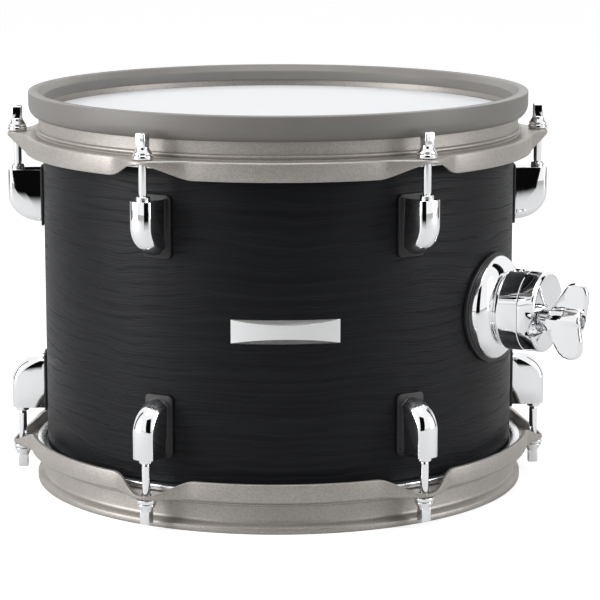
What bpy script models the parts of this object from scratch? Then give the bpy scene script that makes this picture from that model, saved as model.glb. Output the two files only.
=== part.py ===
"""Electronic tom drum, nominal 12 by 9 inches, modelled at real size in metres.

The drum's axis is Z and its front, with the badge, faces -Y. The origin is the centre of the
batter head's playing surface. Heights along the drum are given as levels: distances from the
shell's middle plane, positive towards the head that the piece belongs to. The batter side and
the resonant side are the same parts, so each is modelled once and turned over for the other end.
"""
from math import asin, cos, pi, radians, sin, sqrt

import bmesh
import bpy
from mathutils import Matrix, Vector

# Shell
SHELL_RADIUS = 0.1506
SHELL_DEPTH = 0.2286
SHELL_WALL = 0.0070
EDGE_ROUND = 0.0016
EDGE_BEVEL = 0.0045

# Fits between pieces that touch
FIT_GAP = 0.0003
HOOP_CLEARANCE = 0.00035
SKIRT_CLEARANCE = 0.00195
THREAD_CLEARANCE = 0.00045
WELD = 0.000001

# Heads and the flesh hoops that carry them
HEAD_THICKNESS = 0.0005
HEAD_ROUND = 0.0012
HEAD_TUCK = 0.0015
FLESH_WIDTH = 0.0058
FLESH_HEIGHT = 0.0080

# Tension hoops
HOOP_WALL = 0.0015
HOOP_LIP_ABOVE_EDGE = 0.0082
LIP_HEIGHT = 0.0037
LIP_FLARE = 0.0041
LIP_FILLET = 0.0024
BEAD_WIDTH = 0.0018
BEAD_HEIGHT = 0.0016
BEAD_LIFT = 0.0018
FLANGE_BELOW_EDGE = 0.0119
FLANGE_THICKNESS = 0.0026
FLANGE_ROUND = 0.0013
SKIRT_WALL = 0.0028
SKIRT_HEIGHT = 0.0118
EAR_COUNT = 6
EAR_HALF_WIDTH = 0.0064
EAR_THICKNESS = 0.0040
EAR_TIP_WALL = 0.0012
EAR_BEYOND_ROD = 0.0048
ROD_STANDOFF = 0.0049
SCALLOP_HALF_ARC = 0.0280
EAR_STATIONS = (0.75, 1.6)

# Rubber rim cover
COVER_TOP_THICKNESS = 0.0062
COVER_INNER_WALL = 0.0018
COVER_OUTER_WALL = 0.0018
COVER_INNER_DROP = 0.0100
COVER_OUTER_DROP = 0.0089
COVER_TOTAL_DROP = 0.0182
COVER_ROUND = 0.0013
COVER_SKIN = 0.0006

# Tension rods and washers
ROD_RADIUS = 0.00275
ROD_BELOW_LUG_TOP = 0.0220
WASHER_RADIUS = 0.00615
WASHER_THICKNESS = 0.0025
COLLAR_RADIUS = 0.0058
COLLAR_TOP_RADIUS = 0.0037
COLLAR_EDGE = 0.0007
COLLAR_HEIGHT = 0.0045
KEY_HEAD_SIDE = 0.00635
KEY_HEAD_HEIGHT = 0.0082

# Lugs
LUG_TOP_BELOW_EDGE = 0.0363
LUG_STRAIGHT = 0.0169
LUG_SWEEP = 0.0176
LUG_FACE_BEYOND_ROD = 0.0064
LUG_FACE_WIDTH = 0.0138
LUG_DRAFT = 0.0008
LUG_NOSE = 0.0022
LUG_CROWN_SHARE = 0.72
LUG_SWEEP_STEPS = 3
LUG_BUSH_RADIUS = 0.0042
LUG_BUSH_HEIGHT = 0.0028
LUG_GASKET_MARGIN = 0.0018
LUG_GASKET_THICKNESS = 0.0016
LUG_GASKET_CORNER = 0.0030
LUG_STUD_RADIUS = 0.0025
LUG_STUD_CLEARANCE = 0.0005
LUG_NUT_RADIUS = 0.0050
LUG_NUT_THICKNESS = 0.0032

# Badge
BADGE_LENGTH = 0.0645
BADGE_HEIGHT = 0.0146
BADGE_EDGE_THICKNESS = 0.0008
BADGE_CROWN = 0.0030
BADGE_CHAMFER_AT_END = 0.0003
BADGE_STATIONS = 8

# Rod bracket
BRACKET_ANGLE = radians(-30.0)
BRACKET_GASKET_RADIUS = 0.0343
BRACKET_GASKET_HOLE = 0.0200
BRACKET_GASKET_THICKNESS = 0.0020
PLATE_RADIUS = 0.0324
PLATE_EDGE = 0.0022
PLATE_DOME = 0.0062
DOME_SHOULDER = 0.62
WAIST_RADIUS = 0.0226
BARREL_RADIUS = 0.0250
BARREL_START = 0.0103
BARREL_FLAT = 0.0232
BARREL_FLAT_START = 0.00876
BORE_STANDOFF = 0.0153
L_ROD_RADIUS = 0.00525
L_ROD_CLEARANCE = 0.00035
BASE_WALL_OVER_BORE = 0.0032
CAP_PLATE = 0.0030
CAP_LOBES = 0.0080
CAP_CHAMFER = 0.0020
CHANNEL_HALF_HEIGHT = 0.0075
CHANNEL_DEPTH = 0.0056
BOLT_LEVEL = -0.0042
BOLT_RADIUS = 0.0039
BOLT_CLEARANCE = 0.0004
BOLT_LENGTH = 0.0312
EYE_WALL = 0.0030
EYE_HALF_HEIGHT = 0.0039
CLAMP_WASHER_RADIUS = 0.0077
CLAMP_WASHER_THICKNESS = 0.0016
CLAMP_WASHER_CLEARANCE = 0.0006
HUB_BASE_RADIUS = 0.0068
HUB_RADIUS = 0.0062
WING_NUT_LENGTH = 0.0305
WING_REACH = 0.0234
WING_THICKNESS = 0.0048
WING_OFFSET = 0.0034
BRACKET_SCREW_LEVEL = 0.0140
BRACKET_SCREW_RADIUS = 0.0019
BRACKET_SCREW_BITE = 0.0060
BRACKET_SCREW_HEAD_RADIUS = 0.0045
BRACKET_SCREW_CROWN_RADIUS = 0.00315
BRACKET_SCREW_HEAD_HEIGHT = 0.0024

# Sensor carrier inside the shell
BAR_TOP_BELOW_HEAD = 0.0468
BAR_WIDTH = 0.0240
BAR_THICKNESS = 0.0025
BAR_TAB_DROP = 0.0220
BAR_TAB_CLEARANCE = 0.0008
BAR_SCREW_RADIUS = 0.0016
BAR_SCREW_BITE = 0.0040
BAR_SCREW_HEAD_RADIUS = 0.0038
BAR_SCREW_HEAD_HEIGHT = 0.0020
SENSOR_PLATE_RADIUS = 0.0280
SENSOR_PLATE_THICKNESS = 0.0020
PIEZO_RADIUS = 0.0175
PIEZO_THICKNESS = 0.0012
CONE_BASE_RADIUS = 0.0165
CONE_TIP_RADIUS = 0.0065

# Output jack at the back
JACK_ANGLE = radians(90.0)
JACK_LEVEL = -0.0300
JACK_SOCKET_RADIUS = 0.0034
JACK_BUSH_RADIUS = 0.0050
JACK_BUSH_PROUD = 0.0042
JACK_BODY_SIDE = 0.0160
JACK_BODY_LENGTH = 0.0260
JACK_SOCKET_END_WALL = 0.0030
JACK_NUT_RADIUS = 0.0078
JACK_NUT_THICKNESS = 0.0024
JACK_PLATE_RADIUS = 0.0110
JACK_PLATE_THICKNESS = 0.0010

# Sensor lead, clipped along the bar and down the wall to the jack
LEAD_RADIUS = 0.0014
LEAD_BEND = 0.0120
LEAD_EASE = 0.0036
LEAD_SIDES = 6

# Facets. Every ring has a corner at each lug, at the bracket and at the jack, so that the gaps
# between nested rings stay the same all the way round.
RING_SEGMENTS = 48
SMALL_SEGMENTS = 8
BRACKET_SEGMENTS = 24
BORE_SEGMENTS = 14
HUB_SEGMENTS = 12
DISC_SEGMENTS = 16
HEXAGON = 6

# Places that follow from the sizes above
EDGE_LEVEL = SHELL_DEPTH / 2
SHELL_INNER = SHELL_RADIUS - SHELL_WALL
HEAD_TOP_LEVEL = EDGE_LEVEL + FIT_GAP + HEAD_THICKNESS
MIDDLE_Z = -HEAD_TOP_LEVEL
FILM_INNER = SHELL_RADIUS + FIT_GAP
FILM_OUTER = FILM_INNER + HEAD_THICKNESS
HOOP_INNER = FILM_OUTER + HOOP_CLEARANCE
NECK_RADIUS = HOOP_INNER + HOOP_WALL
LIP_RADIUS = NECK_RADIUS + LIP_FLARE
LIP_TOP_LEVEL = EDGE_LEVEL + HOOP_LIP_ABOVE_EDGE
FLANGE_TOP_LEVEL = EDGE_LEVEL - FLANGE_BELOW_EDGE
FLANGE_UNDER_LEVEL = FLANGE_TOP_LEVEL - FLANGE_THICKNESS
FLESH_INNER = FILM_OUTER + FIT_GAP
FLESH_OUTER = FLESH_INNER + FLESH_WIDTH
FLESH_TOP_LEVEL = FLANGE_UNDER_LEVEL - FIT_GAP
FLESH_UNDER_LEVEL = FLESH_TOP_LEVEL - FLESH_HEIGHT
SKIRT_RADIUS = FLESH_OUTER + SKIRT_CLEARANCE + SKIRT_WALL
ROD_CIRCLE = SKIRT_RADIUS + ROD_STANDOFF
EAR_TIP_RADIUS = ROD_CIRCLE + EAR_BEYOND_ROD
WASHER_LEVEL = FLANGE_TOP_LEVEL + FIT_GAP
COLLAR_LEVEL = WASHER_LEVEL + WASHER_THICKNESS + FIT_GAP
LUG_TOP_LEVEL = EDGE_LEVEL - LUG_TOP_BELOW_EDGE
LUG_SEAT = SHELL_RADIUS + FIT_GAP
LUG_FACE = ROD_CIRCLE + LUG_FACE_BEYOND_ROD
LUG_STUD_LEVEL = LUG_TOP_LEVEL - LUG_STRAIGHT
ROD_END_LEVEL = LUG_TOP_LEVEL - ROD_BELOW_LUG_TOP
ROD_HOLE_RADIUS = ROD_RADIUS + THREAD_CLEARANCE
GASKET_FACE = SHELL_RADIUS + FIT_GAP + BRACKET_GASKET_THICKNESS
PLATE_BACK = GASKET_FACE + FIT_GAP
BORE_CENTRE = PLATE_BACK + BORE_STANDOFF
BORE_RADIUS = L_ROD_RADIUS + L_ROD_CLEARANCE
BASE_FACE = BORE_CENTRE + BORE_RADIUS + BASE_WALL_OVER_BORE
CAP_BACK = BASE_FACE + FIT_GAP
CAP_WELL = CAP_BACK + CAP_PLATE
CAP_FACE = CAP_WELL + CAP_LOBES
CLAMP_WASHER_BACK = CAP_WELL + FIT_GAP
WING_NUT_BACK = CLAMP_WASHER_BACK + CLAMP_WASHER_THICKNESS + FIT_GAP
BAR_TOP_LEVEL = HEAD_TOP_LEVEL - HEAD_THICKNESS - BAR_TOP_BELOW_HEAD


def finish(name, colour, roughness, metallic):
    """Return a Principled material with one colour, roughness and metallic value."""
    material = bpy.data.materials.new(name)
    material.use_nodes = True
    shader = material.node_tree.nodes["Principled BSDF"]
    shader.inputs["Base Color"].default_value = (*colour, 1.0)
    shader.inputs["Roughness"].default_value = roughness
    shader.inputs["Metallic"].default_value = metallic
    material.diffuse_color = (*colour, 1.0)
    return material


def body_from(bm, name):
    """Turn a finished bmesh into an object with outward faces, and free the bmesh."""
    bmesh.ops.recalc_face_normals(bm, faces=bm.faces)
    mesh = bpy.data.meshes.new(name)
    bm.to_mesh(mesh)
    bm.free()
    body = bpy.data.objects.new(name, mesh)
    bpy.context.collection.objects.link(body)
    return body


def turned(name, profile, segments, closed=True):
    """Spin a profile of (radius, height) points round Z; an open one gets a flat disc at each end."""
    bm = bmesh.new()
    points = [bm.verts.new((radius, 0.0, height)) for radius, height in profile]
    pairs = list(zip(points, points[1:]))
    if closed:
        pairs.append((points[-1], points[0]))
    edges = [bm.edges.new(pair) for pair in pairs]
    bmesh.ops.spin(bm, geom=points + edges, cent=(0, 0, 0), axis=(0, 0, 1), angle=2 * pi,
                   steps=segments, use_merge=True)
    if not closed:
        rims = [edge for edge in bm.edges if len(edge.link_faces) == 1]
        bmesh.ops.holes_fill(bm, edges=rims, sides=0)
    return body_from(bm, name)


def lay_along_x(body):
    """Lay a body turned round Z along +X, so that its heights become distances from the axis."""
    body.data.transform(Matrix.Rotation(pi / 2, 4, "Y"))
    return body


def lofted(name, sections, ring=False):
    """Join sections with equal numbers of points; a ring closes on itself, a bar gets end faces."""
    bm = bmesh.new()
    rows = [[bm.verts.new(point) for point in section] for section in sections]
    count = len(rows[0])
    neighbours = list(zip(rows, rows[1:]))
    if ring:
        neighbours.append((rows[-1], rows[0]))
    for near, far in neighbours:
        for index in range(count):
            following = (index + 1) % count
            bm.faces.new((near[index], near[following], far[following], far[index]))
    if not ring:
        bm.faces.new(rows[0])
        bm.faces.new(list(reversed(rows[-1])))
    return body_from(bm, name)


def block(name, low, high):
    """A box between two corners."""
    corners = [(low[0], low[1]), (high[0], low[1]), (high[0], high[1]), (low[0], high[1])]
    return lofted(name, [[(x, y, z) for x, y in corners] for z in (low[2], high[2])])


def cylinder(name, radius, low, high, segments=SMALL_SEGMENTS):
    """A solid cylinder on the Z axis between two heights."""
    return turned(name, [(radius, low), (radius, high)], segments, closed=False)


def combine(body, tool, operation):
    """Apply a Boolean of the tool on the body, weld what it leaves thin, and remove the tool."""
    modifier = body.modifiers.new(operation.title(), "BOOLEAN")
    modifier.operation = operation
    modifier.solver = "EXACT"
    modifier.object = tool
    bpy.context.view_layer.update()
    shaped = body.evaluated_get(bpy.context.evaluated_depsgraph_get())
    bm = bmesh.new()
    bm.from_mesh(shaped.data)
    body.modifiers.clear()
    bmesh.ops.remove_doubles(bm, verts=bm.verts, dist=WELD)
    bmesh.ops.dissolve_degenerate(bm, edges=bm.edges, dist=WELD)
    bm.to_mesh(body.data)
    bm.free()
    bpy.data.objects.remove(tool)
    return body


def cut(body, tool):
    """Cut the tool's shape out of the body."""
    return combine(body, tool, "DIFFERENCE")


def join(body, tool):
    """Unite the tool with the body."""
    return combine(body, tool, "UNION")


def moved(body, x=0.0, y=0.0, z=0.0):
    """Shift a body's mesh and return the body."""
    body.data.transform(Matrix.Translation((x, y, z)))
    return body


def spun(body, angle, axis="Z"):
    """Turn a body's mesh about an axis through the origin and return the body."""
    body.data.transform(Matrix.Rotation(angle, 4, axis))
    return body


def dress(body, material, sharp=35.0):
    """Give a body its material and smooth shading with sharp edges past an angle."""
    body.data.materials.clear()
    body.data.materials.append(material)
    body.data.shade_smooth()
    body.data.set_sharp_from_angle(angle=radians(sharp))
    return body


def place(body, angle=0.0, radius=0.0, turned_over=False, level=0.0):
    """Put a body at an angle round the drum, turned over end for end for the resonant side."""
    side = -1 if turned_over else 1
    body.rotation_euler = (pi if turned_over else 0.0, 0.0, angle)
    body.location = (radius * cos(angle), radius * sin(angle), MIDDLE_Z + side * level)
    return body


def copy_of(body, name):
    """A second object on the same mesh."""
    twin = bpy.data.objects.new(name, body.data)
    bpy.context.collection.objects.link(twin)
    return twin


def lug_angles():
    """The angles of the six lugs, rods and ears, counted from +X."""
    return [2 * pi * index / EAR_COUNT for index in range(EAR_COUNT)]


def make_shell(material):
    """The wooden shell: a tube with rounded, bevelled edges and holes for what is bolted to it."""
    straight = EDGE_LEVEL - EDGE_ROUND
    crown = SHELL_RADIUS - EDGE_ROUND
    profile = [
        (SHELL_RADIUS, -straight), (SHELL_RADIUS, straight), (crown, EDGE_LEVEL),
        (SHELL_INNER, EDGE_LEVEL - EDGE_BEVEL), (SHELL_INNER, EDGE_BEVEL - EDGE_LEVEL),
        (crown, -EDGE_LEVEL),
    ]
    shell = turned("shell", profile, RING_SEGMENTS)
    through = (SHELL_INNER - SHELL_WALL, SHELL_RADIUS + SHELL_WALL)
    holes = [(angle, side * LUG_STUD_LEVEL, LUG_STUD_RADIUS + LUG_STUD_CLEARANCE, through)
             for angle in lug_angles() for side in (1, -1)]
    holes += [(BRACKET_ANGLE, side * BRACKET_SCREW_LEVEL, BRACKET_SCREW_RADIUS + BOLT_CLEARANCE, through)
              for side in (1, -1)]
    holes.append((JACK_ANGLE, JACK_LEVEL, JACK_BUSH_RADIUS + BOLT_CLEARANCE, through))
    blind = (SHELL_INNER - SHELL_WALL, SHELL_INNER + BAR_SCREW_BITE + FIT_GAP)
    holes += [(angle, bar_screw_level(), BAR_SCREW_RADIUS + FIT_GAP, blind)
              for angle in (JACK_ANGLE, JACK_ANGLE + pi)]
    for angle, level, radius, span in holes:
        drill = lay_along_x(cylinder("drill", radius, *span))
        cut(shell, spun(moved(drill, z=level), angle))
    return place(dress(shell, material))


def make_head(material):
    """A head: flat playing disc, rounded over the bearing edge, with a collar down the outside."""
    collar_end = FLESH_UNDER_LEVEL + HEAD_TUCK
    top = HEAD_TOP_LEVEL
    under = top - HEAD_THICKNESS
    profile = [
        (FILM_OUTER - HEAD_ROUND, top), (FILM_OUTER, top - HEAD_ROUND), (FILM_OUTER, collar_end),
        (FILM_INNER, collar_end), (FILM_INNER, under - HEAD_ROUND), (FILM_INNER - HEAD_ROUND, under),
    ]
    return dress(turned("batter_head", profile, RING_SEGMENTS, closed=False), material)


def make_flesh_hoop(material):
    """The metal ring, round the head's collar, that the tension hoop presses on."""
    profile = [
        (FLESH_INNER, FLESH_UNDER_LEVEL), (FLESH_OUTER, FLESH_UNDER_LEVEL),
        (FLESH_OUTER, FLESH_TOP_LEVEL), (FLESH_INNER, FLESH_TOP_LEVEL),
    ]
    return dress(turned("batter_flesh_hoop", profile, RING_SEGMENTS), material)


def ramp(fraction):
    """A smooth rise from 0 to 1."""
    fraction = min(max(fraction, 0.0), 1.0)
    return fraction * fraction * (3 - 2 * fraction)


def hoop_section(offset):
    """The hoop's cross-section, as (radius, level) points, at an angle away from the nearest ear.

    Away from the ears the flange ends in a deep skirt. Towards an ear the skirt sweeps outwards
    and up, until only the ear's own thickness is left round the rod.
    """
    scallop = ramp(abs(offset) * ROD_CIRCLE / SCALLOP_HALF_ARC)
    outer = EAR_TIP_RADIUS + (SKIRT_RADIUS - EAR_TIP_RADIUS) * scallop
    wall = EAR_TIP_WALL + (SKIRT_WALL - EAR_TIP_WALL) * scallop
    skirt_end = FLANGE_TOP_LEVEL - EAR_THICKNESS - (SKIRT_HEIGHT - EAR_THICKNESS) * scallop
    lip_under = LIP_TOP_LEVEL - LIP_HEIGHT
    bead_under = FLANGE_TOP_LEVEL + BEAD_LIFT
    return [
        (HOOP_INNER, LIP_TOP_LEVEL),
        (LIP_RADIUS, LIP_TOP_LEVEL),
        (LIP_RADIUS, lip_under),
        (NECK_RADIUS, lip_under - LIP_FILLET),
        (NECK_RADIUS, bead_under + BEAD_HEIGHT),
        (NECK_RADIUS + BEAD_WIDTH, bead_under + BEAD_HEIGHT / 4),
        (NECK_RADIUS + BEAD_WIDTH / 2, FLANGE_TOP_LEVEL),
        (outer - FLANGE_ROUND, FLANGE_TOP_LEVEL),
        (outer, FLANGE_TOP_LEVEL - FLANGE_ROUND),
        (outer, skirt_end),
        (outer - wall, skirt_end),
        (outer - wall, FLANGE_UNDER_LEVEL),
        (HOOP_INNER, FLANGE_UNDER_LEVEL),
    ]


def hoop_stations():
    """Angles of the hoop's sections: the ring's own corners, and more of them at each ear."""
    ear = EAR_HALF_WIDTH / ROD_CIRCLE
    scallop_end = SCALLOP_HALF_ARC / ROD_CIRCLE
    near_ear = [0.0, *(share * ear for share in EAR_STATIONS), scallop_end]
    step = 2 * pi / RING_SEGMENTS
    half_sector = pi / EAR_COUNT
    steps_to_middle = int(round(half_sector / step))
    offsets = near_ear + [step * count for count in range(1, steps_to_middle)]
    signed = sorted({sign * offset for offset in offsets for sign in (-1, 1)}) + [half_sector]
    return [(centre + offset, offset) for centre in lug_angles() for offset in signed]


def on_facet(angle):
    """How far in a ring's flat facet lies at an angle, as a share of its corner radius."""
    step = 2 * pi / RING_SEGMENTS
    from_middle = angle % step - step / 2
    return cos(step / 2) / cos(from_middle)


def make_hoop(material):
    """A tension hoop with six ears, each drilled for its rod."""
    sections = []
    for angle, offset in hoop_stations():
        x = cos(angle) * on_facet(angle)
        y = sin(angle) * on_facet(angle)
        sections.append([(radius * x, radius * y, level) for radius, level in hoop_section(offset)])
    hoop = lofted("batter_hoop", sections, ring=True)
    for angle in lug_angles():
        drill = cylinder("drill", ROD_HOLE_RADIUS, FLANGE_UNDER_LEVEL - EAR_THICKNESS,
                         FLANGE_TOP_LEVEL + EAR_THICKNESS)
        cut(hoop, spun(moved(drill, x=ROD_CIRCLE), angle))
    return dress(hoop, material)


def make_rim_cover(material):
    """The rubber cover that grips the batter hoop's lip and deadens rim strokes."""
    inside = HOOP_INNER - FIT_GAP
    top = LIP_TOP_LEVEL + FIT_GAP + COVER_TOP_THICKNESS
    inner_face = inside - COVER_INNER_WALL
    lip_clear = LIP_RADIUS + FIT_GAP
    outer_face = lip_clear + COVER_OUTER_WALL
    neck_clear = NECK_RADIUS + FIT_GAP
    lip_under = LIP_TOP_LEVEL - LIP_HEIGHT - FIT_GAP
    profile = [
        (inner_face, top - COVER_INNER_DROP),
        (inner_face, top - COVER_ROUND),
        (inner_face + COVER_ROUND, top),
        (outer_face - COVER_ROUND, top),
        (outer_face, top - COVER_ROUND),
        (outer_face, top - COVER_OUTER_DROP),
        (neck_clear + COVER_SKIN, top - COVER_TOTAL_DROP),
        (neck_clear, top - COVER_TOTAL_DROP),
        (neck_clear, lip_under - LIP_FILLET),
        (lip_clear, lip_under),
        (lip_clear, LIP_TOP_LEVEL + FIT_GAP),
        (inside, LIP_TOP_LEVEL + FIT_GAP),
        (inside, top - COVER_INNER_DROP),
    ]
    return place(dress(turned("rim_cover", profile, RING_SEGMENTS), material))


def lug_outline(inset):
    """The lug's side outline, as (radius, level) points, drawn in at the face by an inset."""
    face = LUG_FACE - inset
    reach = face - LUG_SEAT
    points = [(LUG_SEAT, LUG_TOP_LEVEL), (face, LUG_TOP_LEVEL)]
    for index in range(LUG_SWEEP_STEPS + 1):
        turn = (pi / 2) * index / LUG_SWEEP_STEPS
        level = LUG_STUD_LEVEL - (LUG_SWEEP - inset) * sin(turn)
        points.append((LUG_SEAT + reach * cos(turn), level))
    return points


def lug_side(radius):
    """Half the lug's width at a radius: the sides lean in towards the face."""
    lean = (LUG_FACE - radius) / (LUG_FACE - LUG_SEAT)
    return LUG_FACE_WIDTH / 2 + LUG_DRAFT * lean


def make_lug_gasket():
    """The gasket behind a lug: the lug's outline with a margin and cut corners."""
    half_width = LUG_FACE_WIDTH / 2 + LUG_DRAFT + LUG_GASKET_MARGIN
    top = LUG_TOP_LEVEL + LUG_GASKET_MARGIN
    bottom = LUG_STUD_LEVEL - LUG_SWEEP - LUG_GASKET_MARGIN
    corner = LUG_GASKET_CORNER
    outline = [
        (half_width, bottom + corner), (half_width, top - corner), (half_width - corner, top),
        (corner - half_width, top), (-half_width, top - corner), (-half_width, bottom + corner),
        (corner - half_width, bottom), (half_width - corner, bottom),
    ]
    faces = (LUG_SEAT, LUG_SEAT + LUG_GASKET_THICKNESS)
    return lofted("gasket", [[(x, y, z) for y, z in outline] for x in faces])


def make_lug(material):
    """A lug: crowned nose, gasket, rod bush, rod hole and the stud that holds it to the shell."""
    crown = [(-1.0, LUG_NOSE), (-LUG_CROWN_SHARE, 0.0), (LUG_CROWN_SHARE, 0.0), (1.0, LUG_NOSE)]
    sections = [
        [(radius, side * lug_side(radius), level) for radius, level in lug_outline(inset)]
        for side, inset in crown
    ]
    lug = lofted("batter_lug_1", sections)
    join(lug, make_lug_gasket())
    bush = cylinder("bush", LUG_BUSH_RADIUS, LUG_TOP_LEVEL - LUG_BUSH_HEIGHT,
                    LUG_TOP_LEVEL + LUG_BUSH_HEIGHT)
    join(lug, moved(bush, x=ROD_CIRCLE))
    hole = cylinder("hole", ROD_HOLE_RADIUS, ROD_END_LEVEL - FIT_GAP,
                    LUG_TOP_LEVEL + 2 * LUG_BUSH_HEIGHT)
    cut(lug, moved(hole, x=ROD_CIRCLE))
    nut_face = SHELL_INNER * cos(pi / RING_SEGMENTS) - FIT_GAP
    stud_profile = [
        (LUG_NUT_RADIUS, nut_face - LUG_NUT_THICKNESS), (LUG_NUT_RADIUS, nut_face),
        (LUG_STUD_RADIUS, nut_face), (LUG_STUD_RADIUS, LUG_SEAT + LUG_GASKET_THICKNESS),
    ]
    stud = lay_along_x(turned("stud", stud_profile, HEXAGON, closed=False))
    return dress(join(lug, moved(stud, z=LUG_STUD_LEVEL)), material)


def make_rod(material):
    """A tension rod: square key head, flanged collar and threaded shank, on its own axis."""
    collar_top = COLLAR_LEVEL + COLLAR_HEIGHT
    profile = [
        (COLLAR_TOP_RADIUS, collar_top), (COLLAR_RADIUS, COLLAR_LEVEL + COLLAR_EDGE),
        (COLLAR_RADIUS, COLLAR_LEVEL), (ROD_RADIUS, COLLAR_LEVEL), (ROD_RADIUS, ROD_END_LEVEL),
    ]
    rod = turned("batter_rod_1", profile, SMALL_SEGMENTS, closed=False)
    half = KEY_HEAD_SIDE / 2
    key_head = block("key_head", (-half, -half, collar_top - COLLAR_EDGE),
                     (half, half, collar_top + KEY_HEAD_HEIGHT))
    return dress(join(rod, key_head), material)


def make_rod_washer(material):
    """The washer between a rod's collar and the hoop's ear."""
    inner = ROD_RADIUS + THREAD_CLEARANCE
    top = WASHER_LEVEL + WASHER_THICKNESS
    profile = [(inner, WASHER_LEVEL), (WASHER_RADIUS, WASHER_LEVEL), (WASHER_RADIUS, top), (inner, top)]
    return dress(turned("batter_washer_1", profile, SMALL_SEGMENTS), material)


def make_badge(material):
    """The plain badge plate: its back follows the shell, its crowned face has tapering chamfers."""
    sections = []
    for index in range(BADGE_STATIONS + 1):
        share = 2 * index / BADGE_STATIONS - 1
        angle = asin(share * BADGE_LENGTH / 2 / SHELL_RADIUS) - pi / 2
        crown = BADGE_CROWN * (1 - share * share)
        half = BADGE_HEIGHT / 2
        face_half = half - BADGE_CHAMFER_AT_END - crown
        back = SHELL_RADIUS + FIT_GAP
        edge = back + BADGE_EDGE_THICKNESS
        face = edge + BADGE_CHAMFER_AT_END + crown
        outline = [(back, -half), (back, half), (edge, half), (face, face_half), (face, -face_half),
                   (edge, -half)]
        sections.append([(radius * cos(angle), radius * sin(angle), level) for radius, level in outline])
    return place(dress(lofted("badge", sections), material, sharp=20.0))


def saddle(radius):
    """A cylinder on the drum's axis that gives a bracket piece its back, hollowed to the shell."""
    reach = 2 * BRACKET_GASKET_RADIUS
    return spun(cylinder("saddle", radius, -reach, reach, segments=RING_SEGMENTS), -BRACKET_ANGLE)


def make_bracket_gasket(material):
    """The rubber ring between the shell and the bracket: a disc curved to the shell."""
    outside = SHELL_RADIUS + BRACKET_GASKET_THICKNESS + FIT_GAP
    disc_profile = [
        (BRACKET_GASKET_HOLE, SHELL_INNER), (BRACKET_GASKET_RADIUS, SHELL_INNER),
        (BRACKET_GASKET_RADIUS, outside + SHELL_WALL), (BRACKET_GASKET_HOLE, outside + SHELL_WALL),
    ]
    gasket = lay_along_x(turned("bracket_gasket", disc_profile, BRACKET_SEGMENTS))
    combine(gasket, saddle(outside), "INTERSECT")
    cut(gasket, saddle(SHELL_RADIUS + FIT_GAP))
    return place(dress(gasket, material), BRACKET_ANGLE)


def side_flat(sign, start, end):
    """A cutter for one of the flats on the clamp's barrel."""
    reach = 2 * BARREL_RADIUS
    sides = sorted((sign * BARREL_FLAT, sign * reach))
    return block("flat", (start, sides[0], -reach), (end, sides[1], reach))


def make_bracket_base(material):
    """The bracket's base: domed plate, waist and the inner half of the clamp's barrel."""
    plate_edge = PLATE_BACK + PLATE_EDGE
    barrel = PLATE_BACK + BARREL_START
    profile = [
        (PLATE_RADIUS, SHELL_INNER), (PLATE_RADIUS, plate_edge - PLATE_EDGE / 2),
        (PLATE_RADIUS - PLATE_EDGE / 2, plate_edge),
        ((PLATE_RADIUS + WAIST_RADIUS) / 2, plate_edge + PLATE_DOME * DOME_SHOULDER),
        (WAIST_RADIUS, plate_edge + PLATE_DOME),
        (WAIST_RADIUS, barrel - PLATE_EDGE / 2), (BARREL_RADIUS, barrel + PLATE_EDGE / 2),
        (BARREL_RADIUS, BASE_FACE),
    ]
    base = lay_along_x(turned("bracket_base", profile, BRACKET_SEGMENTS, closed=False))
    cut(base, saddle(PLATE_BACK))
    for sign in (1, -1):
        cut(base, side_flat(sign, PLATE_BACK + BARREL_FLAT_START, BASE_FACE + BARREL_RADIUS))
    bore = cylinder("bore", BORE_RADIUS, -2 * BARREL_RADIUS, 2 * BARREL_RADIUS, BORE_SEGMENTS)
    cut(base, moved(bore, x=BORE_CENTRE))
    eye_reach = BORE_RADIUS + EYE_WALL + FIT_GAP
    slot_half = EYE_HALF_HEIGHT + FIT_GAP
    slot = block("slot", (BORE_CENTRE - eye_reach, -eye_reach, BOLT_LEVEL - slot_half),
                 (CAP_FACE, eye_reach, BOLT_LEVEL + slot_half))
    cut(base, slot)
    for sign in (1, -1):
        drill = cylinder("drill", BRACKET_SCREW_RADIUS + FIT_GAP, SHELL_INNER,
                         PLATE_BACK + BRACKET_SCREW_BITE + FIT_GAP)
        cut(base, moved(lay_along_x(drill), z=sign * BRACKET_SCREW_LEVEL))
    return place(dress(base, material), BRACKET_ANGLE)


def make_bracket_cap(material):
    """The clamp's outer half: a chamfered disc whose two lobes stand either side of a channel."""
    profile = [
        (BARREL_RADIUS, CAP_BACK), (BARREL_RADIUS, CAP_FACE - CAP_CHAMFER),
        (BARREL_RADIUS - CAP_CHAMFER, CAP_FACE),
    ]
    cap = lay_along_x(turned("bracket_cap", profile, BRACKET_SEGMENTS, closed=False))
    for sign in (1, -1):
        cut(cap, side_flat(sign, CAP_BACK - BARREL_RADIUS, CAP_FACE + BARREL_RADIUS))
    far = CAP_FACE + CAP_LOBES
    side = 2 * BARREL_RADIUS
    channel = block("channel", (CAP_FACE - CHANNEL_DEPTH, -side, BOLT_LEVEL - CHANNEL_HALF_HEIGHT),
                    (far, side, BOLT_LEVEL + CHANNEL_HALF_HEIGHT))
    cut(cap, channel)
    well = cylinder("well", CLAMP_WASHER_RADIUS + CLAMP_WASHER_CLEARANCE, CAP_WELL, far, HUB_SEGMENTS)
    cut(cap, moved(lay_along_x(well), z=BOLT_LEVEL))
    hole = cylinder("hole", BOLT_RADIUS + BOLT_CLEARANCE, SHELL_RADIUS, far)
    cut(cap, moved(lay_along_x(hole), z=BOLT_LEVEL))
    return place(dress(cap, material), BRACKET_ANGLE)


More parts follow.
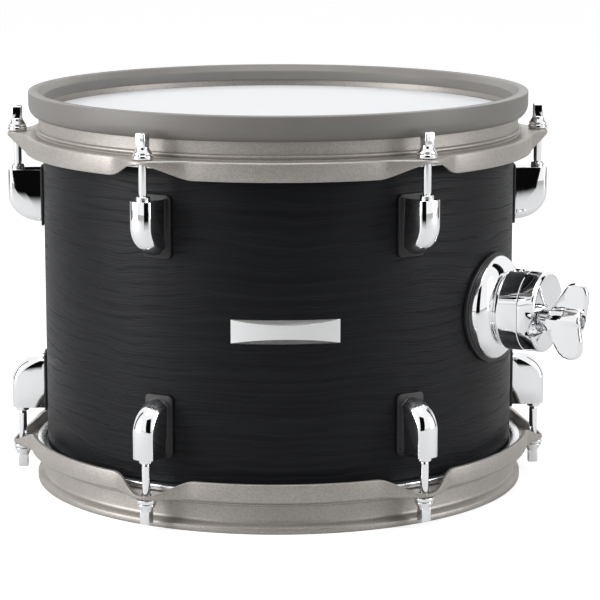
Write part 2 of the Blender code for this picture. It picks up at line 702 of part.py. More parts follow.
def make_eye_bolt(material):
    """The bolt whose eye goes round the rod's bore and whose shank carries the wing nut."""
    eye_inner = BORE_RADIUS + L_ROD_CLEARANCE / 2
    eye_outer = BORE_RADIUS + EYE_WALL
    profile = [
        (eye_inner, -EYE_HALF_HEIGHT), (eye_outer, -EYE_HALF_HEIGHT),
        (eye_outer, EYE_HALF_HEIGHT), (eye_inner, EYE_HALF_HEIGHT),
    ]
    bolt = moved(turned("eye_bolt", profile, BORE_SEGMENTS), x=BORE_CENTRE)
    root = BORE_CENTRE + eye_outer - EYE_WALL / 2
    shank = cylinder("shank", BOLT_RADIUS - FIT_GAP, root, CAP_BACK + BOLT_LENGTH)
    join(bolt, lay_along_x(shank))
    return place(dress(bolt, material), BRACKET_ANGLE, level=BOLT_LEVEL)


def make_clamp_washer(material):
    """The washer under the wing nut."""
    inner = BOLT_RADIUS + BOLT_CLEARANCE
    front = CLAMP_WASHER_BACK + CLAMP_WASHER_THICKNESS
    profile = [(inner, CLAMP_WASHER_BACK), (CLAMP_WASHER_RADIUS, CLAMP_WASHER_BACK),
               (CLAMP_WASHER_RADIUS, front), (inner, front)]
    washer = lay_along_x(turned("clamp_washer", profile, HUB_SEGMENTS))
    return place(dress(washer, material), BRACKET_ANGLE, level=BOLT_LEVEL)


def make_wing_nut(material):
    """The wing nut: a bored hub with two wings, set off to either side of its axis, along +X."""
    # The wing's outline: shares of the nut's length along the bolt, and of the wing's reach.
    shares = [(0.12, 0.0), (0.21, 0.26), (0.51, 0.85), (0.61, 0.97), (0.74, 1.0), (0.91, 0.95),
              (1.0, 0.79), (1.0, 0.38), (0.93, 0.21), (0.93, 0.0)]
    hub_end = WING_NUT_BACK + shares[-1][0] * WING_NUT_LENGTH
    step = WING_NUT_BACK + shares[0][0] * WING_NUT_LENGTH
    hub_profile = [(HUB_BASE_RADIUS, WING_NUT_BACK), (HUB_BASE_RADIUS, (WING_NUT_BACK + step) / 2),
                   (HUB_RADIUS, step), (HUB_RADIUS, hub_end)]
    nut = lay_along_x(turned("wing_nut", hub_profile, HUB_SEGMENTS, closed=False))
    for sign in (1, -1):
        outline = [(WING_NUT_BACK + along * WING_NUT_LENGTH, sign * out * WING_REACH)
                   for along, out in shares]
        sides = (sign * WING_OFFSET - WING_THICKNESS / 2, sign * WING_OFFSET + WING_THICKNESS / 2)
        join(nut, lofted("wing", [[(x, y, z) for x, z in outline] for y in sides]))
    bore = cylinder("bore", BOLT_RADIUS + BOLT_CLEARANCE, SHELL_RADIUS, hub_end + WING_REACH)
    cut(nut, lay_along_x(bore))
    return place(dress(nut, material), BRACKET_ANGLE, level=BOLT_LEVEL)


def make_bracket_screw(name, level, material):
    """A screw from inside the shell into the bracket's base."""
    head_face = SHELL_INNER * cos(pi / RING_SEGMENTS) - FIT_GAP
    profile = [
        (BRACKET_SCREW_CROWN_RADIUS, head_face - BRACKET_SCREW_HEAD_HEIGHT),
        (BRACKET_SCREW_HEAD_RADIUS, head_face - BRACKET_SCREW_HEAD_HEIGHT / 2),
        (BRACKET_SCREW_HEAD_RADIUS, head_face), (BRACKET_SCREW_RADIUS, head_face),
        (BRACKET_SCREW_RADIUS, PLATE_BACK + BRACKET_SCREW_BITE),
    ]
    screw = lay_along_x(turned(name, profile, SMALL_SEGMENTS, closed=False))
    return place(dress(screw, material), BRACKET_ANGLE, level=level)


def bar_screw_level():
    """The level of the screws that hold the sensor bar's tabs to the shell."""
    return BAR_TOP_LEVEL - BAR_THICKNESS - (BAR_TAB_DROP - BAR_THICKNESS) / 2


def make_sensor_bar(material):
    """The bar across the shell: a folded strip with a tab, and its screw, against each wall."""
    tab_face = SHELL_INNER * cos(pi / RING_SEGMENTS) - BAR_TAB_CLEARANCE
    top = BAR_TOP_LEVEL
    under = top - BAR_THICKNESS
    foot = top - BAR_TAB_DROP
    outline = [
        (-tab_face, foot), (-tab_face, top), (tab_face, top), (tab_face, foot),
        (tab_face - BAR_THICKNESS, foot), (tab_face - BAR_THICKNESS, under),
        (BAR_THICKNESS - tab_face, under), (BAR_THICKNESS - tab_face, foot),
    ]
    half = BAR_WIDTH / 2
    bar = lofted("sensor_bar", [[(x, y, z) for y, z in outline] for x in (-half, half)])
    head_face = tab_face - BAR_THICKNESS
    profile = [
        (BAR_SCREW_HEAD_RADIUS, head_face - BAR_SCREW_HEAD_HEIGHT),
        (BAR_SCREW_HEAD_RADIUS, head_face + FIT_GAP),
        (BAR_SCREW_RADIUS, head_face + FIT_GAP), (BAR_SCREW_RADIUS, SHELL_INNER + BAR_SCREW_BITE),
    ]
    for angle in (JACK_ANGLE, JACK_ANGLE + pi):
        screw = lay_along_x(turned("screw", profile, SMALL_SEGMENTS, closed=False))
        join(bar, spun(moved(screw, z=bar_screw_level()), angle))
    return place(dress(bar, material))


def make_sensor_stack(plate_material, piezo_material, foam_material):
    """The plate, piezo disc and foam cone that stand on the bar and touch the batter head."""
    plate_low = BAR_TOP_LEVEL + FIT_GAP
    plate_high = plate_low + SENSOR_PLATE_THICKNESS
    plate = cylinder("sensor_plate", SENSOR_PLATE_RADIUS, plate_low, plate_high, DISC_SEGMENTS)
    place(dress(plate, plate_material))
    piezo_low = plate_high + FIT_GAP
    piezo_high = piezo_low + PIEZO_THICKNESS
    piezo = cylinder("head_piezo", PIEZO_RADIUS, piezo_low, piezo_high, DISC_SEGMENTS)
    place(dress(piezo, piezo_material))
    cone_low = piezo_high + FIT_GAP
    cone_high = HEAD_TOP_LEVEL - HEAD_THICKNESS - FIT_GAP
    profile = [(CONE_BASE_RADIUS, cone_low), (CONE_TIP_RADIUS, cone_high)]
    cone = turned("foam_cone", profile, DISC_SEGMENTS, closed=False)
    place(dress(cone, foam_material))


def make_output_jack(body_material, nut_material):
    """The jack socket through the shell's back, and the plate and nut that hold it outside."""
    wall_face = SHELL_INNER * cos(pi / RING_SEGMENTS) - FIT_GAP
    half = JACK_BODY_SIDE / 2
    jack = block("output_jack", (wall_face - JACK_BODY_LENGTH, -half, -half), (wall_face, half, half))
    mouth = SHELL_RADIUS + JACK_BUSH_PROUD
    join(jack, lay_along_x(cylinder("bush", JACK_BUSH_RADIUS, wall_face - half, mouth, HUB_SEGMENTS)))
    socket_end = wall_face - JACK_BODY_LENGTH + JACK_SOCKET_END_WALL
    cut(jack, lay_along_x(cylinder("socket", JACK_SOCKET_RADIUS, socket_end, mouth + half)))
    place(dress(jack, body_material), JACK_ANGLE, level=JACK_LEVEL)
    plate_back = SHELL_RADIUS + FIT_GAP
    plate_front = plate_back + JACK_PLATE_THICKNESS
    nut = cylinder("jack_nut", JACK_PLATE_RADIUS, plate_back, plate_front, DISC_SEGMENTS)
    nut_back = plate_front - JACK_PLATE_THICKNESS / 2
    nut_front = plate_front + JACK_NUT_THICKNESS
    join(nut, cylinder("hexagon", JACK_NUT_RADIUS, nut_back, nut_front, HEXAGON))
    hole_radius = JACK_BUSH_RADIUS + BOLT_CLEARANCE
    cut(nut, cylinder("hole", hole_radius, SHELL_INNER, mouth + half, HUB_SEGMENTS))
    place(dress(lay_along_x(nut), nut_material), JACK_ANGLE, level=JACK_LEVEL)


def smooth_route(corners, steps):
    """Points on a smooth curve through the corners of a route, with steps between each two."""
    route = [Vector(corner) for corner in corners]
    padded = [2 * route[0] - route[1], *route, 2 * route[-1] - route[-2]]
    points = []
    for before, start, end, after in zip(padded, padded[1:], padded[2:], padded[3:]):
        for step in range(steps):
            share = step / steps
            bend = (2 * before - 5 * start + 4 * end - after) * share**2
            twist = (3 * start - before - 3 * end + after) * share**3
            points.append(start + ((end - before) * share + bend + twist) / 2)
    return [*points, route[-1]]


def tube(name, points, radius, sides):
    """A round tube along a list of points, with flat ends."""
    sections = []
    across = Vector((0.0, 0.0, 1.0))
    for index, point in enumerate(points):
        along = (points[min(index + 1, len(points) - 1)] - points[max(index - 1, 0)]).normalized()
        across = (across - across.dot(along) * along).normalized()
        beside = along.cross(across)
        turns = [2 * pi * side / sides for side in range(sides)]
        sections.append([point + radius * (cos(turn) * across + sin(turn) * beside) for turn in turns])
    return lofted(name, sections)


def make_sensor_lead(material):
    """The lead from the sensor plate, along the bar's edge and down the wall to the jack."""
    beside = BAR_WIDTH / 2 + LEAD_RADIUS + FIT_GAP
    lie = BAR_TOP_LEVEL + FIT_GAP + SENSOR_PLATE_THICKNESS / 2
    start = sqrt(SENSOR_PLATE_RADIUS**2 - (BAR_WIDTH / 2 + FIT_GAP) ** 2) + FIT_GAP
    wall = sqrt((SHELL_INNER * cos(pi / RING_SEGMENTS)) ** 2 - (beside + LEAD_RADIUS) ** 2)
    down = wall - LEAD_RADIUS - FIT_GAP
    end = JACK_LEVEL + JACK_BODY_SIDE / 2 + FIT_GAP
    bend = LEAD_BEND
    corners = [
        (beside, start, lie), (beside, start + bend, lie), (beside, (start + down) / 2, lie),
        (beside, down - bend, lie), (beside, down - LEAD_EASE, lie - LEAD_EASE),
        (beside, down, lie - bend), (beside, down, lie - 2 * bend), (beside / 2, down, (lie + end) / 2),
        (0.0, down, end + 2 * bend), (0.0, down, end + bend), (0.0, down, end),
    ]
    lead = tube("sensor_lead", smooth_route(corners, 2), LEAD_RADIUS, LEAD_SIDES)
    return place(dress(lead, material))


def make_all():
    """Build every piece of the drum."""
    wood = finish("stained_oak", (0.030, 0.032, 0.036), 0.55, 0.0)
    mesh_film = finish("mesh_head", (0.86, 0.87, 0.88), 0.6, 0.0)
    black_film = finish("black_film", (0.02, 0.02, 0.022), 0.35, 0.0)
    aluminium = finish("aluminium", (0.72, 0.73, 0.75), 0.3, 1.0)
    hoop_metal = finish("hoop_metal", (0.29, 0.27, 0.25), 0.45, 0.6)
    rubber = finish("rim_rubber", (0.24, 0.23, 0.22), 0.7, 0.0)
    chrome = finish("chrome", (0.80, 0.82, 0.84), 0.08, 1.0)
    black_rubber = finish("black_rubber", (0.015, 0.015, 0.016), 0.6, 0.0)
    steel = finish("steel", (0.50, 0.51, 0.52), 0.35, 1.0)
    brass = finish("piezo_brass", (0.72, 0.55, 0.25), 0.35, 1.0)
    foam = finish("foam", (0.05, 0.05, 0.055), 0.9, 0.0)
    jack_plastic = finish("jack_plastic", (0.02, 0.02, 0.02), 0.4, 0.0)

    make_shell(wood)
    make_rim_cover(rubber)
    make_badge(chrome)

    head = place(make_head(mesh_film))
    resonant_head = place(copy_of(head, "resonant_head"), turned_over=True)
    resonant_head.data = head.data.copy()
    dress(resonant_head, black_film)
    flesh_hoop = place(make_flesh_hoop(aluminium))
    place(copy_of(flesh_hoop, "resonant_flesh_hoop"), turned_over=True)
    hoop = place(make_hoop(hoop_metal))
    place(copy_of(hoop, "resonant_hoop"), turned_over=True)

    first = {"lug": make_lug(chrome), "rod": make_rod(chrome), "washer": make_rod_washer(chrome)}
    radius = {"lug": 0.0, "rod": ROD_CIRCLE, "washer": ROD_CIRCLE}
    for side, turned_over in (("batter", False), ("resonant", True)):
        for index, angle in enumerate(lug_angles(), start=1):
            for kind, pattern in first.items():
                name = f"{side}_{kind}_{index}"
                piece = pattern if name == pattern.name else copy_of(pattern, name)
                place(piece, angle, radius[kind], turned_over)

    make_bracket_gasket(black_rubber)
    make_bracket_base(chrome)
    make_bracket_cap(chrome)
    make_eye_bolt(steel)
    make_clamp_washer(steel)
    make_wing_nut(chrome)
    make_bracket_screw("bracket_screw_upper", BRACKET_SCREW_LEVEL, steel)
    make_bracket_screw("bracket_screw_lower", -BRACKET_SCREW_LEVEL, steel)

    make_sensor_bar(steel)
    make_sensor_stack(aluminium, brass, foam)
    make_output_jack(jack_plastic, steel)
    make_sensor_lead(black_rubber)


for leftover in list(bpy.data.objects):
    bpy.data.objects.remove(leftover)
make_all()
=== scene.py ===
# %% [markdown]
# # An electronic tom drum, from frame to finished picture
#
# The drum is a mounted 12 by 9 inch tom with a white playing head, a warm grey rubber rim
# cover, die-cast hoops, a black stained shell and chrome lugs, rods and rod clamp. The packed
# frame already says where each piece is and how it moves, but with coarse facets. Each cell
# below makes one piece again, smooth and finely shaped, at the place that the frame gives.

from math import asin, atan2, cos, hypot, pi, radians, sin, sqrt

import bmesh
import bpy
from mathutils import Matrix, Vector


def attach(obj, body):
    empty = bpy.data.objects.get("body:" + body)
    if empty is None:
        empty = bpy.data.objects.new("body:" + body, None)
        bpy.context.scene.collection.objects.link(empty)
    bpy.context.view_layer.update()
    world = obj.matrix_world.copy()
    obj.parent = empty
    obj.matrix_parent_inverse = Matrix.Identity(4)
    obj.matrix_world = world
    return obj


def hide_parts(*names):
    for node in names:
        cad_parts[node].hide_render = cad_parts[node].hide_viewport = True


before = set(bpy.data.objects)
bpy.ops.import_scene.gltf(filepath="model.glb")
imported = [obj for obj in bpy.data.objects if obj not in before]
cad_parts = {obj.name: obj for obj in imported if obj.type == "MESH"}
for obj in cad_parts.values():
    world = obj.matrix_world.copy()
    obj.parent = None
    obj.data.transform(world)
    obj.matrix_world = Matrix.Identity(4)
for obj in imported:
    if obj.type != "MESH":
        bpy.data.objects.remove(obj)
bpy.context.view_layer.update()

# %% [markdown]
# ## Sizes that many pieces share
#
# The drum's axis is Z and its front faces -Y. Places are in metres, and so is each value that
# is multiplied by MM; profiles are drawn in bare millimetres, as on a workshop drawing.
# Heights along the drum are levels from the shell's middle plane, which is 115.1 mm under the
# playing surface, so one shape serves the batter side as it is and the resonant side turned
# over.

# %% Shared sizes
MM = 0.001
WELD_DISTANCE = 0.002 * MM
MIDDLE_Z = -115.1 * MM
EAR_COUNT = 6
ROD_CIRCLE = 167.15 * MM
ROUND_STEPS = 240
SHELL_RADIUS = 150.6
THROUGH_WALL = (140, 155)
STUD_LEVEL = 61.1
SCREW_LEVEL = 14.0
JACK_ANGLE = pi / 2
JACK_LEVEL = -30.0
BRACKET_ANGLE = radians(-30)
BOLT_LEVEL = -4.2 * MM
BORE_CENTRE = 168.5 * MM


def lug_angles():
    """The angles of the six lugs, rods and ears, counted from +X."""
    return [2 * pi * index / EAR_COUNT for index in range(EAR_COUNT)]


print("lugs at", [round(angle * 180 / pi) for angle in lug_angles()], "degrees")

# %% [markdown]
# ## Hands for the modelling
#
# A primitive is added, shaped in edit mode, and put down with its place in its own mesh. The
# frame leaves its nodes selected and an operator works on all that is selected, so each of
# these small helpers first clears the bench.

# %% Helpers for objects


def clear_bench():
    """Leave edit mode and select nothing."""
    if bpy.context.object and bpy.context.object.mode != "OBJECT":
        bpy.ops.object.mode_set(mode="OBJECT")
    bpy.ops.object.select_all(action="DESELECT")


def take(*pieces):
    """Select pieces and make the first one active."""
    clear_bench()
    for piece in pieces:
        piece.select_set(True)
    bpy.context.view_layer.objects.active = pieces[0]


def named(name):
    """Name the new active object and its mesh."""
    piece = bpy.context.object
    piece.name = name
    piece.data.name = name
    return piece


def put(piece, location=(0, 0, 0), rotation=(0, 0, 0)):
    """Turn and move a piece, then store its place in its mesh."""
    take(piece)
    piece.rotation_euler = rotation
    piece.location = location
    bpy.ops.object.transform_apply(location=True, rotation=True, scale=True)
    return piece


def put_on_drum(piece, angle=0.0, turned_over=False):
    """Place a piece that is modelled with +X outwards and Z as its level."""
    return put(piece, (0, 0, MIDDLE_Z), (pi if turned_over else 0.0, 0.0, angle))


def copy_of(piece, name):
    """A copy with its own mesh."""
    take(piece)
    bpy.ops.object.duplicate(linked=False)
    return named(name)


def brick(name, low, high):
    """A box between two corners in millimetres."""
    clear_bench()
    bpy.ops.mesh.primitive_cube_add(size=1.0)
    box = named(name)
    box.scale = tuple((top - bottom) * MM for bottom, top in zip(low, high))
    return put(box, tuple((top + bottom) / 2 * MM for bottom, top in zip(low, high)))


def apply_modifier(piece, kind, **settings):
    """Add a modifier with its settings and apply it."""
    take(piece)
    modifier = piece.modifiers.new(kind.title(), kind)
    for key, value in settings.items():
        setattr(modifier, key, value)
    bpy.ops.object.modifier_apply(modifier=modifier.name)
    return piece


def combine(piece, operation, *tools):
    """Apply a Boolean with one tool after another, and remove the tools."""
    for tool in tools:
        apply_modifier(piece, "BOOLEAN", operation=operation, solver="EXACT", object=tool)
        bpy.data.objects.remove(tool)
    return piece


def soften(piece, width, angle=35.0, segments=3):
    """Round the edges sharper than an angle."""
    return apply_modifier(piece, "BEVEL", width=width, segments=segments, limit_method="ANGLE",
                          angle_limit=radians(angle), harden_normals=False)


def smooth(piece, angle=35.0):
    """Shade the piece smooth, with sharp edges past an angle."""
    take(piece)
    bpy.ops.object.shade_smooth_by_angle(angle=radians(angle))
    return piece


def report(piece):
    """Print a piece's triangles and size."""
    triangles = sum(len(face.vertices) - 2 for face in piece.data.polygons)
    sizes = " x ".join(f"{size / MM:.1f}" for size in piece.dimensions)
    print(f"{piece.name}: {triangles} triangles, {sizes} mm")
    return piece


print("object helpers are ready")

# %% Helpers for edit mode


def edit(piece):
    """Open a piece in edit mode with nothing selected."""
    take(piece)
    bpy.ops.object.mode_set(mode="EDIT")
    bpy.ops.mesh.select_mode(type="VERT")
    bpy.ops.mesh.select_all(action="DESELECT")
    return piece


def pick(piece, test):
    """Select the vertices whose place passes a test, and count them."""
    bpy.ops.mesh.select_all(action="DESELECT")
    shape = bmesh.from_edit_mesh(piece.data)
    passed = [vertex for vertex in shape.verts if test(vertex.co)]
    for vertex in passed:
        vertex.select_set(True)
    shape.select_flush_mode()
    bmesh.update_edit_mesh(piece.data)
    return len(passed)


def weld():
    """Select everything and merge the vertices that share a place."""
    bpy.ops.mesh.select_all(action="SELECT")
    bpy.ops.mesh.remove_doubles(threshold=WELD_DISTANCE)


def extrude(step):
    """Extrude what is selected by a step."""
    bpy.ops.mesh.extrude_region_move(TRANSFORM_OT_translate={"value": step})


def spin(steps, angle, copies=False):
    """Spin everything round Z, as one skin or as separate copies."""
    bpy.ops.mesh.select_all(action="SELECT")
    bpy.ops.mesh.spin(steps=steps, angle=angle, dupli=copies, center=(0, 0, 0), axis=(0, 0, 1))


def close_up(piece):
    """Weld a piece and turn its faces outwards, then leave edit mode."""
    weld()
    bpy.ops.mesh.normals_make_consistent(inside=False)
    clear_bench()
    return piece


print("edit helpers are ready")

# %% [markdown]
# ## The lathe
#
# Hoops, heads, washers, rods and the clamp's barrel are all turned shapes. Each could be a
# stack of extruded and scaled circles, but a real turner follows a profile, so the lathe does
# too: one vertex is extruded along the profile and the wire is spun round Z. Roundings are
# short arcs in the profile itself, which keeps their size exact. A piece that isn't round
# starts from the same wire, closed, filled and then extruded.

# %% The lathe


def turns(start, end, count):
    """Evenly spaced angles, in radians, from one to another in degrees."""
    return [radians(start + (end - start) * step / count) for step in range(count + 1)]


def arc(centre, radius, start, end, count=5):
    """Points on an arc round (radius, level), from one angle to another in degrees."""
    return [(centre[0] + radius * cos(turn), centre[1] + radius * sin(turn))
            for turn in turns(start, end, count)]


def wire(name, profile):
    """Extrude a single vertex along a profile of (radius, level) in millimetres."""
    points = [Vector((radius * MM, 0.0, level * MM)) for radius, level in profile]
    clear_bench()
    bpy.ops.mesh.primitive_plane_add(size=MM, location=(0, 0, 0))
    piece = edit(named(name))
    bpy.ops.mesh.select_all(action="SELECT")
    bpy.ops.mesh.merge(type="CENTER")
    bpy.ops.transform.translate(value=points[0])
    for before, after in zip(points, points[1:]):
        extrude(after - before)
    return piece


def filled(name, outline):
    """Draw a closed outline and fill it."""
    piece = wire(name, [*outline, outline[0]])
    weld()
    bpy.ops.mesh.edge_face_add()
    return piece


def lathe(name, profile, steps=ROUND_STEPS):
    """Turn a profile round Z: a solid if it starts on the axis, and otherwise a ring."""
    on_axis = profile[0][0] == 0
    piece = wire(name, profile if on_axis else [*profile, profile[0]])
    spin(steps, 2 * pi)
    return close_up(piece)


print("a rounding has", len(arc((0, 0), 1.0, 0, 90)), "points")

# %% [markdown]
# ## Writing materials as sums
#
# A material is a small program. Drawn as nodes it is hard to read, so a socket is wrapped in a
# class that understands +, - and *, and every other node comes from one method. A pattern is
# then one line of arithmetic.

# %% Material helpers


class Value:
    """A shader socket that holds a number and can be used in sums."""

    def __init__(self, finish, socket):
        self.finish = finish
        self.socket = socket

    def maths(self, operation, left, right=0.0):
        return self.finish.node("ShaderNodeMath", {"operation": operation}, {0: left, 1: right})

    def __add__(self, other):
        return self.maths("ADD", self, other)

    def __radd__(self, other):
        return self.maths("ADD", other, self)

    def __sub__(self, other):
        return self.maths("SUBTRACT", self, other)

    def __rsub__(self, other):
        return self.maths("SUBTRACT", other, self)

    def __mul__(self, other):
        return self.maths("MULTIPLY", self, other)

    def __rmul__(self, other):
        return self.maths("MULTIPLY", other, self)

    def sine(self):
        return self.maths("SINE", self)

    def magnitude(self):
        return self.maths("ABSOLUTE", self)

    def fraction(self):
        """What is left over whole numbers: a saw-tooth from 0 to 1."""
        return self.maths("FRACT", self)

    def between(self, low, high):
        """0 below low, 1 above high and smooth in between."""
        settings = {"interpolation_type": "SMOOTHSTEP"}
        return self.finish.node("ShaderNodeMapRange", settings,
                                {"Value": self, "From Min": low, "From Max": high})


class Finish:
    """A material with a Principled shader, built node by node."""

    def __init__(self, name, **constants):
        self.material = bpy.data.materials.new(name)
        self.material.use_nodes = True
        self.tree = self.material.node_tree
        self.shader = self.tree.nodes["Principled BSDF"]
        for key, value in constants.items():
            self.shader.inputs[key.replace("_", " ")].default_value = value
        self.place = self.node("ShaderNodeTexCoord", output="Object")

    def node(self, kind, settings=None, inputs=None, output=0):
        """Add a node: its settings first, then the values or links of its sockets."""
        node = self.tree.nodes.new(kind)
        for key, value in (settings or {}).items():
            setattr(node, key, value)
        for key, value in (inputs or {}).items():
            self.feed(node.inputs[key], value)
        return Value(self, node.outputs[output])

    def feed(self, socket, value):
        """Link a value to a socket, or set the socket to a plain number, colour or vector."""
        if isinstance(value, Value):
            self.tree.links.new(value.socket, socket)
        elif socket.type == "RGBA" and len(value) == 3:
            socket.default_value = (*value, 1.0)
        else:
            socket.default_value = value

    def set(self, **inputs):
        """Feed the shader's own sockets."""
        for key, value in inputs.items():
            self.feed(self.shader.inputs[key.replace("_", " ")], value)
        return self

    def noise(self, scale, detail=3.0, roughness=0.5):
        """Fractal noise from 0 to 1. The scale may be one number or one for each axis."""
        scales = (scale,) * 3 if isinstance(scale, (int, float)) else scale
        place = self.node("ShaderNodeMapping", None, {"Vector": self.place, "Scale": scales})
        return self.noise_at(place, detail, roughness)

    def noise_at(self, place, detail=3.0, roughness=0.5):
        """Fractal noise at a place that is already worked out."""
        return self.node("ShaderNodeTexNoise", {"noise_dimensions": "3D"},
                         {"Vector": place, "Scale": 1.0, "Detail": detail, "Roughness": roughness})

    def part(self, vector, axis):
        """One coordinate of a vector."""
        return self.node("ShaderNodeSeparateXYZ", None, {0: vector}, output=axis)

    def blend(self, factor, first, second):
        """Mix two colours."""
        return self.node("ShaderNodeMix", {"data_type": "RGBA"}, {0: factor, 6: first, 7: second},
                         output=2)

    def bump(self, height, distance, strength=1.0):
        """Raise the surface by a height in metres and feed the shader's Normal."""
        inputs = {"Height": height, "Distance": distance, "Strength": strength}
        self.set(Normal=self.node("ShaderNodeBump", None, inputs))


def shown(finish):
    """Print how many nodes a finish took."""
    print(f"{finish.material.name}: {len(finish.tree.nodes)} nodes")
    return finish


def dress(piece, finish):
    """Give a piece one material."""
    piece.data.materials.clear()
    piece.data.materials.append(finish.material)


def hand_over(piece, finish, body, slot, *nodes):
    """Finish a piece: its material, the body that it rides on and what it replaces. The slot is not used.
    """
    dress(piece, finish)
    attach(piece, body)
    if nodes:
        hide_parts(*nodes)
    return report(piece)


print("material helpers are ready")

# %% [markdown]
# ## Camera
#
# The photograph is taken from a little above the drum through a long lens. A pinhole camera
# was fitted to the drum's outlines, and these are its place, tilt and focal length.

# %% Camera
CAMERA_DISTANCE = 1.6513
CAMERA_HEIGHT = 0.1878
CAMERA_SWING = radians(1.555)
CAMERA_HEADING = radians(2.035)
CAMERA_TILT = radians(10.70)
SENSOR_WIDTH = 36.0
FOCAL_LENGTH = 155.15
NEAREST_SEEN = 0.05
bpy.ops.object.camera_add(
    location=(-CAMERA_DISTANCE * sin(CAMERA_SWING), -CAMERA_DISTANCE * cos(CAMERA_SWING), CAMERA_HEIGHT),
    rotation=(pi / 2 - CAMERA_TILT, 0.0, -CAMERA_HEADING))
camera = bpy.context.object
camera.name = "photograph_camera"
camera.data.sensor_width = SENSOR_WIDTH
camera.data.lens = FOCAL_LENGTH
camera.data.clip_start = NEAREST_SEEN
bpy.context.scene.camera = camera
bpy.context.scene.view_settings.view_transform = "Standard"
print("camera at", tuple(round(part, 3) for part in camera.location))

# %% [markdown]
# ## Studio
#
# Chrome shows the room more than itself, so the room is part of the finish. The background is
# white, to the camera and in reflections, and black flags stand round the drum: photographers
# use them to draw dark lines in chrome. They are seen only by glossy rays, so they throw no
# shadow. The floor keeps the drum's shadow. It glows to the camera, and less in reflections,
# where a wedge of felt just over it closes with the distance. So chrome shows a pale floor
# round the drum that darkens far out.

# %% World
WORLD_FILL = 0.30


def make_world():
    """White for the camera and for reflections, and a plain grey fill for everything else."""
    world = bpy.data.worlds.new("studio")
    bpy.context.scene.world = world
    world.use_nodes = True
    tree = world.node_tree
    path = tree.nodes.new("ShaderNodeLightPath")
    background = tree.nodes["Background"]
    background.inputs["Color"].default_value = (1.0, 1.0, 1.0, 1.0)
    seen = path.outputs["Is Camera Ray"]
    for name in ("Is Glossy Ray", "Is Transmission Ray"):
        either = tree.nodes.new("ShaderNodeMath")
        either.operation = "MAXIMUM"
        tree.links.new(seen, either.inputs[0])
        tree.links.new(path.outputs[name], either.inputs[1])
        seen = either.outputs[0]
    strength = tree.nodes.new("ShaderNodeMapRange")
    strength.inputs["To Min"].default_value = WORLD_FILL
    strength.inputs["To Max"].default_value = 1.0
    tree.links.new(seen, strength.inputs["Value"])
    tree.links.new(strength.outputs["Result"], background.inputs["Strength"])


make_world()
print("world fill", WORLD_FILL)

# %% Floor
FLOOR_Z = -237.6 * MM
FLOOR_GLOW = 0.75
GLOW_IN_REFLECTIONS = 0.3
clear_bench()
bpy.ops.mesh.primitive_circle_add(vertices=96, radius=6.0, fill_type="NGON")
floor = put(named("studio_floor"), (0, 0, FLOOR_Z))
floor_finish = Finish("studio_floor_finish")
seen = floor_finish.node("ShaderNodeLightPath", output="Is Camera Ray")
seen = seen + GLOW_IN_REFLECTIONS * floor_finish.node("ShaderNodeLightPath", output="Is Glossy Ray")
floor_finish.set(Base_Color=(0.55, 0.55, 0.55), Emission_Color=(1.0, 1.0, 1.0),
                 Emission_Strength=FLOOR_GLOW * seen,
                 Roughness=0.85 + 0.1 * floor_finish.noise(60.0, detail=4.0))
dress(floor, shown(floor_finish))

# %% Lamps


def softbox(name, azimuth, elevation, distance, width, height, power):
    """An area lamp that looks at the drum from an azimuth, clockwise from the front seen from above."""
    turn, lift = radians(azimuth), radians(elevation)
    place = Vector((-sin(turn) * cos(lift), -cos(turn) * cos(lift), sin(lift))) * distance
    place.z += MIDDLE_Z
    bpy.ops.object.light_add(type="AREA", location=place)
    lamp = bpy.context.object
    lamp.name = name
    lamp.data.shape = "RECTANGLE"
    lamp.data.size = width
    lamp.data.size_y = height
    lamp.data.energy = power
    lamp.rotation_euler = (Vector((0, 0, MIDDLE_Z)) - place).to_track_quat("-Z", "Y").to_euler()
    print(name, power, "W")


softbox("left_softbox", 72, 14, 1.9, 0.8, 1.5, 30)
softbox("right_softbox", -72, 14, 2.1, 0.6, 1.4, 17)
softbox("top_softbox", 10, 80, 1.7, 1.25, 0.9, 13)
softbox("back_softbox", 180, 35, 2.0, 1.6, 1.0, 10)

# %% Flags
FLAG_FOOT = -0.24
FLOOR_FLAG_Z = FLOOR_Z + 0.002
FADE_START, FADE_END = 0.75, 1.9


def make_flag_felt(name):
    """Plain black felt."""
    felt = Finish(name, Roughness=1.0, Specular_IOR_Level=0.0)
    return felt.set(Base_Color=(0.004, 0.004, 0.004))


def make_graded_felt():
    """Felt that is clear near the drum and closes with the distance from it."""
    felt = make_flag_felt("graded_flag_felt_finish")
    distance = felt.node("ShaderNodeVectorMath", {"operation": "LENGTH"}, {0: felt.place}, output="Value")
    return felt.set(Alpha=distance.between(FADE_START, FADE_END))


def unseen(board, finish):
    """Let only reflections see a board."""
    dress(board, finish)
    for ray in ("camera", "diffuse", "shadow", "transmission"):
        setattr(board, f"visible_{ray}", False)


def flag(name, azimuth, distance, width, top):
    """A black board on the floor, seen only in reflections, that faces the drum from an azimuth."""
    turn = radians(azimuth)
    clear_bench()
    bpy.ops.mesh.primitive_plane_add(size=1.0)
    board = named(name)
    board.scale = (width, top - FLAG_FOOT, 1.0)
    place = (-sin(turn) * distance, -cos(turn) * distance, (FLAG_FOOT + top) / 2)
    unseen(put(board, place, (pi / 2, 0.0, -turn)), flag_felt)


def floor_flag(name, reach, near, far):
    """A wedge just over the floor in front of the drum, within a reach in degrees, black far out."""
    corners = [(-reach, far), (-reach, near), (reach, near), (reach, far)]
    clear_bench()
    bpy.ops.mesh.primitive_plane_add(size=1.0)
    board = edit(named(name))
    shape = bmesh.from_edit_mesh(board.data)
    ring = [loop.vert for loop in shape.faces[:][0].loops]
    for vertex, (turn, distance) in zip(ring, corners):
        vertex.co = (distance * sin(radians(turn)), -distance * cos(radians(turn)), FLOOR_FLAG_Z)
    bmesh.update_edit_mesh(board.data)
    clear_bench()
    unseen(board, make_graded_felt())


